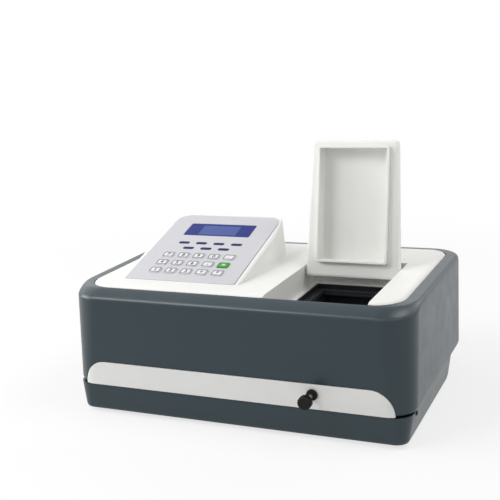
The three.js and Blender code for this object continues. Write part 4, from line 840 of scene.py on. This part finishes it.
def facing(axis: Axis, sign: float, x: float, y: float, z: float) -> Matrix:
    """Gives the matrix that lays a piece's Z along a row axis at a working point.

    Args:
        axis: the row axis.
        sign: 1 or -1 along it.
        x: millimetres to the right.
        y: millimetres back.
        z: millimetres up.

    Returns:
        The matrix to the row frame.
    """
    ahead = Vector((0.0, 0.0, 0.0))
    ahead[axis.value] = sign
    up = Vector((0.0, 0.0, 1.0))
    right = up.cross(ahead)
    return Matrix.Translation(row(x, y, z)) @ Matrix((right, up, ahead)).transposed().to_4x4()


@dataclass
class SocketScrew:
    """A low round screw head with a hexagon socket."""

    name: str
    radius: float = 3.0
    height: float = 1.4
    socket: float = 1.5
    depth: float = 1.1
    rounding: float = 0.3
    shoulder: Pair = (0.4, 0.35)
    chamfer: float = 0.15

    def build(self, place: Matrix) -> None:
        """Builds the head with its underside on the surface.

        Args:
            place: what carries it to the row frame, with Z out of the surface.
        """
        top = self.height
        rounding = top * self.rounding
        across, down = (share * rounding for share in self.shoulder)
        profile = [
            (0.0, 0.0), (self.radius, 0.0), (self.radius, top - rounding),
            (self.radius - across, top - down), (self.radius - rounding, top),
            (self.socket + self.chamfer, top), (self.socket, top - self.chamfer),
            (self.socket, top - self.depth), (0.0, top - self.depth),
        ]
        ride(turned(self.name, profile, SCREW_STEEL, place, hexagonal=(5, 6, 7)), Body.BASE)


@dataclass
class Slope:
    """The console's slope: its own frame has X to the right and Y up the slope from its lower edge."""

    x: float = -90.5
    y: float = 54.2
    z: float = 169.0
    angle: float = 16.0

    def place(self, x: float = 0.0, y: float = 0.0, z: float = 0.0) -> Matrix:
        """Gives the matrix from a point of the slope to the row frame.

        Args:
            x: millimetres to the right of the console's middle.
            y: millimetres up the slope.
            z: millimetres above the slope.

        Returns:
            The matrix.
        """
        corner = Matrix.Translation(row(self.x, self.y, self.z))
        turn = Matrix.Rotation(math.radians(self.angle), 4, "X")
        return corner @ turn @ Matrix.Translation(Vector((x, y, z)) * MM)

    def centre(self, y: float) -> Triple:
        """Gives the point of the slope's middle line at y up the slope, in working millimetres."""
        angle = math.radians(self.angle)
        return (self.x, self.y + y * math.cos(angle), self.z + y * math.sin(angle))


@dataclass
class Case:
    """The slate base tray and cover, the pale band along the front, the feet and the side screws."""

    edge: float = 0.5
    screw_x: float = 226.3
    screw_y: float = 36.0
    screw_z: float = 31.0

    def build(self) -> None:
        """Dresses the case's mouldings."""
        Dressed("base_tray", SLATE, edge=self.edge).build()
        Dressed("case_cover", SLATE, edge=self.edge).build()
        Dressed("front_strip", BAND, edge=0.25).build()
        for corner in ("front_left", "front_right", "rear_left", "rear_right"):
            Dressed(f"foot_{corner}", RUBBER, edge=0.4).build()
        self.side_screws()

    def side_screws(self) -> None:
        """Sets the two screws that hold the cover to the base, just under the parting line at the sides."""
        for side, sign in (("left", -1.0), ("right", 1.0)):
            place = facing(Axis.X, sign, sign * self.screw_x, self.screw_y, self.screw_z)
            SocketScrew(f"case_screw_{side}").build(place)


@dataclass
class Deck:
    """The white deck with its console and channel."""

    edge: float = 1.0

    def build(self) -> None:
        """Dresses the deck."""
        Dressed("top_cover", WHITE, edge=self.edge, steps=3).build()


@dataclass
class Console:
    """The film on the slope with its print, the display window and the fifteen keys.

    Heights are above the slope. An outline is its width, its length and its corner radius.
    """

    slope: Slope = field(default_factory=Slope)
    film_top: float = 0.3
    film_size: Pair = (160.4, 182.0)
    film_corner: float = 18.0
    edge_foot: float = 0.6
    edge_gap: float = 0.1
    edge_reach: Pair = (0.75, 0.6)
    window_y: float = 138.8
    dash: Triple = (16.8, 6.4, 3.2)
    dash_pitch: float = 26.7
    dash_rows: tuple[tuple[str, float, float, int], ...] = (
        ("marks_upper", -38.2, 100.7, 4), ("marks_lower", -25.2, 86.5, 3),
    )
    key_top: float = 1.3
    key_pitch: Pair = (22.9, 20.5)
    key_row: float = 65.5
    ring_outside: Triple = (15.2, 12.2, 1.8)
    ring_inside: Triple = (12.4, 8.8, 1.0)
    sign_size: float = 9.0
    legends: tuple[str, ...] = ("7890.", "456-=", "123+*")
    green_key: str = "key_2_5"

    def build(self) -> None:
        """Builds the film, the window, the marks and the keys."""
        Dressed("panel_overlay", FILM, edge=0.15, steps=1).build()
        window = Backlit("lcd_blue_backlit", "112476", 0.3, ior=1.22, centre=self.slope.centre(self.window_y),
                         tilt=math.radians(self.slope.angle))
        for node, finish in (("lcd_window", window), ("lcd_module", MASK), ("keypad_board", MASK)):
            Dressed(node, finish, edge=0.2, steps=1).build()
        self.marks()
        # Painted shadow along the film's right edge.
        self.lay_painted_edge_shadow()
        for line, signs in enumerate(self.legends):
            for column, sign in enumerate(signs):
                self.key(line, column, sign)

    def marks(self) -> None:
        """Prints the two rows of soft-key marks under the window."""
        for name, x, y, count in self.dash_rows:
            dash = plate(f"{name}_one", rounded_outline(*self.dash), INK_THICK, INK)
            place = self.slope.place(x, y, self.film_top + INK_LIFT)
            Copies(name, dash, INK, count, self.dash_pitch).build(Body.BASE, place)

    def lay_painted_edge_shadow(self) -> None:
        """Lays a thin dark line along the film's right side: painted shadow of the film's edge."""
        right = self.film_size[0] / 2
        outer = right - self.edge_gap
        low, high = self.edge_foot, self.film_size[1] - self.film_corner
        inner = [(right - reach, y) for reach, y in zip(self.edge_reach, (low, high))]
        outline = [inner[0], (outer, low), (outer, high), inner[1]]
        place = self.slope.place(z=self.film_top + INK_LIFT)
        ride(plate("film_edge_line", outline, INK_THICK, FILM_EDGE_SHADOW, place), Body.BASE)

    def key(self, line: int, column: int, sign: str) -> None:
        """Dresses one key and prints its sign and its outline ring; on the plain keys the ring is also
        painted shade round the raised key.

        Args:
            line: the key's row, from the top.
            column: the key's column, from the left.
            sign: the sign on it.
        """
        node = f"key_{line + 1}_{column + 1}"
        body = body_of_node(node)
        green = node == self.green_key
        dome, ring_ink_and_shade, sign_ink = (KEY_GREEN, INK_GREEN, INK_WHITE) if green else (KEY, KEY_RING_INK_AND_SHADE, INK_DARK)
        Dressed(node, dome, edge=0.2, steps=1).build()
        across = (column - len(self.legends[line]) // 2) * self.key_pitch[0]
        along = self.key_row - line * self.key_pitch[1]
        place = self.slope.place(across, along, self.key_top + INK_LIFT)
        outside, inside = rounded_outline(*self.ring_outside), rounded_outline(*self.ring_inside)
        # On the plain keys this ring is print and painted shade round the raised key.
        ride(plate(f"{node}_outline", outside, INK_THICK, ring_ink_and_shade, place, inside), body)
        ride(printed(f"{node}_sign", sign, self.sign_size, sign_ink, place), body)


@dataclass
class Lid:
    """The open lid: its shell, its liner with the raised rim, its pin and the pad it closes on."""

    edge: float = 0.8

    def build(self) -> None:
        """Dresses the lid's pieces."""
        Dressed("lid_shell", WHITE, edge=self.edge, steps=3).build()
        Dressed("lid_liner", WHITE, edge=self.edge, steps=3).build()
        Dressed("lid_pin", STEEL_X, edge=0.3).build()
        Dressed("lid_pad", RUBBER, edge=0.4).build()


@dataclass
class Compartment:
    """The black sample compartment, its foam ring, and the carriage on its rails."""

    cells: int = 4
    first_cell: float = 116.5
    cell_pitch: float = 21.0
    carriage_top: float = 98.0
    number_x: float = 96.5
    number_size: float = 7.0

    def numbers(self) -> None:
        """Prints the cells' numbers on the carriage, left of each pocket."""
        for index in range(self.cells):
            y = self.first_cell + index * self.cell_pitch
            place = Matrix.Translation(row(self.number_x, y, self.carriage_top + INK_LIFT))
            number = str(index + 1)
            ride(printed(f"cell_number_{number}", number, self.number_size, INK_WHITE, place), Body.CARRIAGE)

    def build(self) -> None:
        """Dresses the compartment's pieces."""
        self.numbers()
        for node, finish, edge in (
            ("compartment_tub", BLACK, 0.5), ("compartment_seal", FOAM, 0.5), ("cell_carriage", NYLON, 0.4),
            ("carriage_rails", STEEL_Y, 0.3), ("pull_rod", STEEL_Y, 0.3), ("rod_knob", KNOB, 0.3),
            ("rod_bush", KNOB, 0.4),
        ):
            Dressed(node, finish, edge).build()


@dataclass
class Back:
    """The rear panel with the inlet, the switch, the data port and the fan.

    inlet, port and switch are places along X. POST and PIN are profiles: radius, and height.
    """

    face: float = 307.0
    height: float = 86.0
    inlet: float = -145.0
    inlet_face: float = 2.0
    inlet_screw: float = 19.6
    port: float = -45.0
    port_face: float = 1.0
    port_floor: float = -5.2
    port_post: float = 17.5
    insulator: Triple = (26.0, 8.0, 2.0)
    insulator_thick: float = 2.0
    pin_pitch: float = 2.76
    pin_rows: tuple[tuple[str, int, float], ...] = (("upper", 5, 1.42), ("lower", 4, -1.42))
    switch: float = -100.0
    rocker_axis: float = 302.2
    rocker_rise: float = 6.5
    rocker_tilt: float = 7.0
    sign_reach: float = 6.2
    sign_size: float = 6.0

    POST = ((0.0, 0.0), (2.3, 0.0), (2.3, 3.4), (2.0, 3.7), (1.2, 3.7), (1.1, 1.6), (0.0, 1.6))
    PIN = ((0.0, 0.0), (0.5, 0.0), (0.5, 4.4), (0.3, 4.8), (0.0, 4.8))

    def build(self) -> None:
        """Dresses the rear fittings and adds their small parts."""
        for node, finish, edge, steps in (
            ("rear_panel", PLATED, 0.2, 1), ("mains_inlet", BLACK, 0.3, 2), ("switch_frame", BLACK, 0.3, 2),
            ("power_rocker", KNOB, 0.4, 2), ("data_port", PLATED, 0.2, 1), ("fan_frame", BLACK, 0.3, 2),
            ("fan_rotor", NYLON, 0.2, 1),
        ):
            Dressed(node, finish, edge, steps).build()
        for title, side in (("left", -1.0), ("right", 1.0)):
            self.fastenings(title, side)
        self.port_pins()
        self.switch_marks()

    def behind(self, x: float, out: float, rise: float = 0.0) -> Matrix:
        """Gives the matrix that points a small part backwards at the panel.

        Args:
            x: millimetres to the right.
            out: millimetres behind the panel's face.
            rise: millimetres above the fittings' middle line.

        Returns:
            The matrix to the row frame.
        """
        return facing(Axis.Y, 1.0, x, self.face + out, self.height + rise)

    def fastenings(self, title: str, side: float) -> None:
        """Sets the screw of the inlet and the hexagon post of the port on one side.

        Args:
            title: the side's name.
            side: -1 for the left, 1 for the right.
        """
        screw = SocketScrew(f"inlet_screw_{title}", radius=2.4, height=1.0, socket=1.1, depth=0.8)
        screw.build(self.behind(self.inlet + side * self.inlet_screw, self.inlet_face))
        place = self.behind(self.port + side * self.port_post, self.port_face)
        post = turned(f"port_post_{title}", self.POST, STEEL_Y, place, hexagonal=(1, 2, 3))
        ride(post, Body.BASE)

    def port_pins(self) -> None:
        """Fills the data port with its insulator and two rows of gold pins."""
        outline, place = rounded_outline(*self.insulator), self.behind(self.port, self.port_floor)
        ride(plate("port_insulator", outline, self.insulator_thick, BLACK, place), Body.BASE)
        for title, count, rise in self.pin_rows:
            pin = turned(f"port_pin_{title}", self.PIN, GOLD, sides=12)
            start = self.port + self.pin_pitch * (count - 1) / 2
            place = self.behind(start, self.port_floor + self.insulator_thick, rise)
            Copies(f"port_pins_{title}", pin, GOLD, count, self.pin_pitch).build(Body.BASE, place)

    def switch_marks(self) -> None:
        """Prints the on and off signs on the rocker's two faces."""
        tilt = math.radians(self.rocker_tilt)
        turn = Matrix.Rotation(tilt, 4, "X")
        pivot = Matrix.Translation(row(self.switch, self.rocker_axis, self.height)) @ turn
        hold = facing(Axis.Y, 1.0, 0.0, -SHIFT_Y, -SHIFT_Z)
        for title, sign, lean in (("on", "I", -1.0), ("off", "O", 1.0)):
            face = Matrix.Rotation(lean * tilt, 4, "X")
            away = Vector((0.0, -lean * self.sign_reach, self.rocker_rise + INK_LIFT)) * MM
            place = pivot @ hold @ face @ Matrix.Translation(away)
            ride(printed(f"switch_{title}", sign, self.sign_size, INK_WHITE, place), Body.ROCKER)


@dataclass
class Optics:
    """The lamp house, the monochromator with its drive, the detector and the electronics."""

    finishes: dict[str, Finish] = field(default_factory=lambda: {
        "mono_housing": CAST, "grating_table": CAST, "detector_house": CAST, "lamp_house": PLATED,
        "mirror_mount": SILVERED, "grating": SILVERED, "lamp": QUARTZ, "drive_screw": STEEL_Y,
        "drive_nut": BRASS, "drive_motor": PLATED, "filter_motor": PLATED, "filter_wheel": NYLON,
        "detector_board": MASK, "main_board": MASK, "power_supply": PLATED,
    })

    def build(self) -> None:
        """Dresses the inner pieces."""
        for node, finish in self.finishes.items():
            Dressed(node, finish, edge=0.25, steps=1).build()


# The studio

WHITE_LIGHT = {"Color": linear("ffffff"), "Strength": 1.0}


@dataclass
class Studio:
    """A plain pale floor, soft lamps and the camera at the photograph's angle.

    The camera's eye is in working millimetres, and the floor's and the lamps' values in row metres.
    """

    eye: Triple = (477.37, -983.31, 485.22)
    azimuth: float = 24.054
    down: float = 13.341
    roll: float = -3.165
    focal_px: float = 937.45
    frame_px: float = 500.0
    sensor: float = 36.0
    clip: Pair = (0.05, 50.0)
    floor_half: float = 6.0
    floor_colour: str = "f4f4f4"
    floor_fade: Pair = (0.45, 1.3)
    floor_white: float = 0.72
    sky_colour: str = "f4f6fa"
    sky_strength: float = 0.08
    aim: Triple = (0.0, 0.0, 0.1)
    lamps: tuple[tuple[str, Triple, float, float], ...] = (
        ("key", (-1.3, -1.5, 1.9), 1.2, 28.5),
        ("left_low", (-1.9, -0.5, 0.8), 1.2, 26.0),
        ("front", (0.3, -2.1, 1.6), 1.2, 6.0),
        ("front_right", (1.9, -1.2, 1.0), 1.4, 6.0),
        ("right", (1.7, 0.3, 0.9), 1.0, 2.0),
        ("rear_right", (1.2, 1.3, 1.0), 1.0, 6.5),
        ("overhead", (-0.8, 0.3, 1.9), 1.4, 3.5),
        ("top_right", (1.2, 0.1, 1.9), 1.0, 13.0),
        ("rear_top", (-0.2, 1.9, 1.7), 1.4, 6.0),
        ("rear_left", (-1.6, 1.0, 1.2), 1.2, 4.0),
    )

    def camera(self) -> None:
        """Makes the camera that solves the photograph's outline."""
        azimuth, down, roll = (math.radians(v) for v in (self.azimuth, self.down, self.roll))
        across = math.cos(down)
        ahead = Vector((-math.sin(azimuth) * across, math.cos(azimuth) * across, -math.sin(down)))
        level = Vector((math.cos(azimuth), math.sin(azimuth), 0.0))
        up = level.cross(ahead)
        right = level * math.cos(roll) + up * math.sin(roll)
        turn = Matrix((right, right.cross(ahead), -ahead)).transposed().to_4x4()
        data = bpy.data.cameras.new("camera")
        data.sensor_width = self.sensor
        data.lens = self.sensor * self.focal_px / self.frame_px
        data.clip_start, data.clip_end = self.clip
        camera = new_object("camera", data)
        camera.matrix_world = Matrix.Translation(row(*self.eye)) @ turn
        bpy.context.scene.camera = camera

    def lamp(self, name: str, place: Triple, size: float, power: float) -> None:
        """Adds a soft square lamp that points at the instrument.

        Args:
            name: the lamp's name.
            place: where it hangs, in row metres.
            size: its side in metres.
            power: its power in watts.
        """
        data = bpy.data.lights.new(name, "AREA")
        data.shape = "SQUARE"
        data.size = size
        data.energy = power
        lamp = new_object(name, data)
        lamp.location = place
        lamp.visible_camera = False
        lamp.rotation_mode = "QUATERNION"
        lamp.rotation_quaternion = (Vector(self.aim) - Vector(place)).to_track_quat("-Z", "Y")

    def background_rays(self, tree: NodeTree) -> NodeSocket:
        """Tells the rays that see the white background: the camera's, and those off gloss or through glass.

        Args:
            tree: the tree that the nodes go into.

        Returns:
            A socket that is 1 for such a ray.
        """
        path = add_node(tree, "ShaderNodeLightPath").outputs
        seen = path["Is Camera Ray"]
        for kind in ("Is Glossy Ray", "Is Transmission Ray"):
            seen = add_node(tree, "ShaderNodeMath", {0: seen, 1: path[kind]}, operation="MAXIMUM").outputs[0]
        return seen

    def floor(self) -> None:
        """Lays the pale floor, which shows white to the camera and keeps the shadow."""
        bm = bmesh.new()
        bmesh.ops.create_grid(bm, x_segments=1, y_segments=1, size=self.floor_half)
        mesh = bpy.data.meshes.new("floor")
        bm.to_mesh(mesh)
        bm.free()
        made = bpy.data.materials.new("floor_pale")
        tree = empty_tree(made)
        matt = add_node(tree, "ShaderNodeBsdfDiffuse", {"Color": linear(self.floor_colour)}).outputs[0]
        glow = add_node(tree, "ShaderNodeEmission", WHITE_LIGHT).outputs[0]
        seen = self.background_rays(tree)
        where = add_node(tree, "ShaderNodeTexCoord").outputs["Object"]
        away = add_node(tree, "ShaderNodeVectorMath", {0: where}, operation="LENGTH").outputs["Value"]
        fade = between(away, self.floor_white, 1.0, *self.floor_fade)
        whiter = add_node(tree, RANGE, fade, interpolation_type="SMOOTHSTEP").outputs[0]
        share = add_node(tree, "ShaderNodeMath", {0: seen, 1: whiter}, operation="MULTIPLY").outputs[0]
        mixed = add_node(tree, "ShaderNodeMixShader", {0: share, 1: matt, 2: glow}).outputs[0]
        add_node(tree, "ShaderNodeOutputMaterial", {"Surface": mixed})
        mesh.materials.append(made)
        new_object("floor", mesh)

    def sky(self) -> None:
        """Gives the world its even light, and a white backdrop to the camera."""
        world = bpy.data.worlds.new("studio")
        bpy.context.scene.world = world
        tree = empty_tree(world)
        seen = self.background_rays(tree)
        even = {"Color": linear(self.sky_colour), "Strength": self.sky_strength}
        light = add_node(tree, "ShaderNodeBackground", even).outputs[0]
        white = add_node(tree, "ShaderNodeBackground", WHITE_LIGHT).outputs[0]
        mixed = add_node(tree, "ShaderNodeMixShader", {0: seen, 1: light, 2: white}).outputs[0]
        add_node(tree, "ShaderNodeOutputWorld", {"Surface": mixed})

    def build(self) -> None:
        """Builds the whole studio."""
        self.floor()
        self.sky()
        for name, place, size, power in self.lamps:
            self.lamp(name, place, size, power)
        self.camera()


def main() -> None:
    """Builds every sub-assembly and the studio."""
    logging.basicConfig(level=logging.INFO, format="%(message)s")
    scene = bpy.context.scene
    scene.view_settings.view_transform = "Standard"
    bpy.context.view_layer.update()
    for part in (Case(), Deck(), Console(), Lid(), Compartment(), Back(), Optics()):
        part.build()
        log.info("%s built", type(part).__name__)
    Studio().build()


if __name__ == "__main__":
    main()
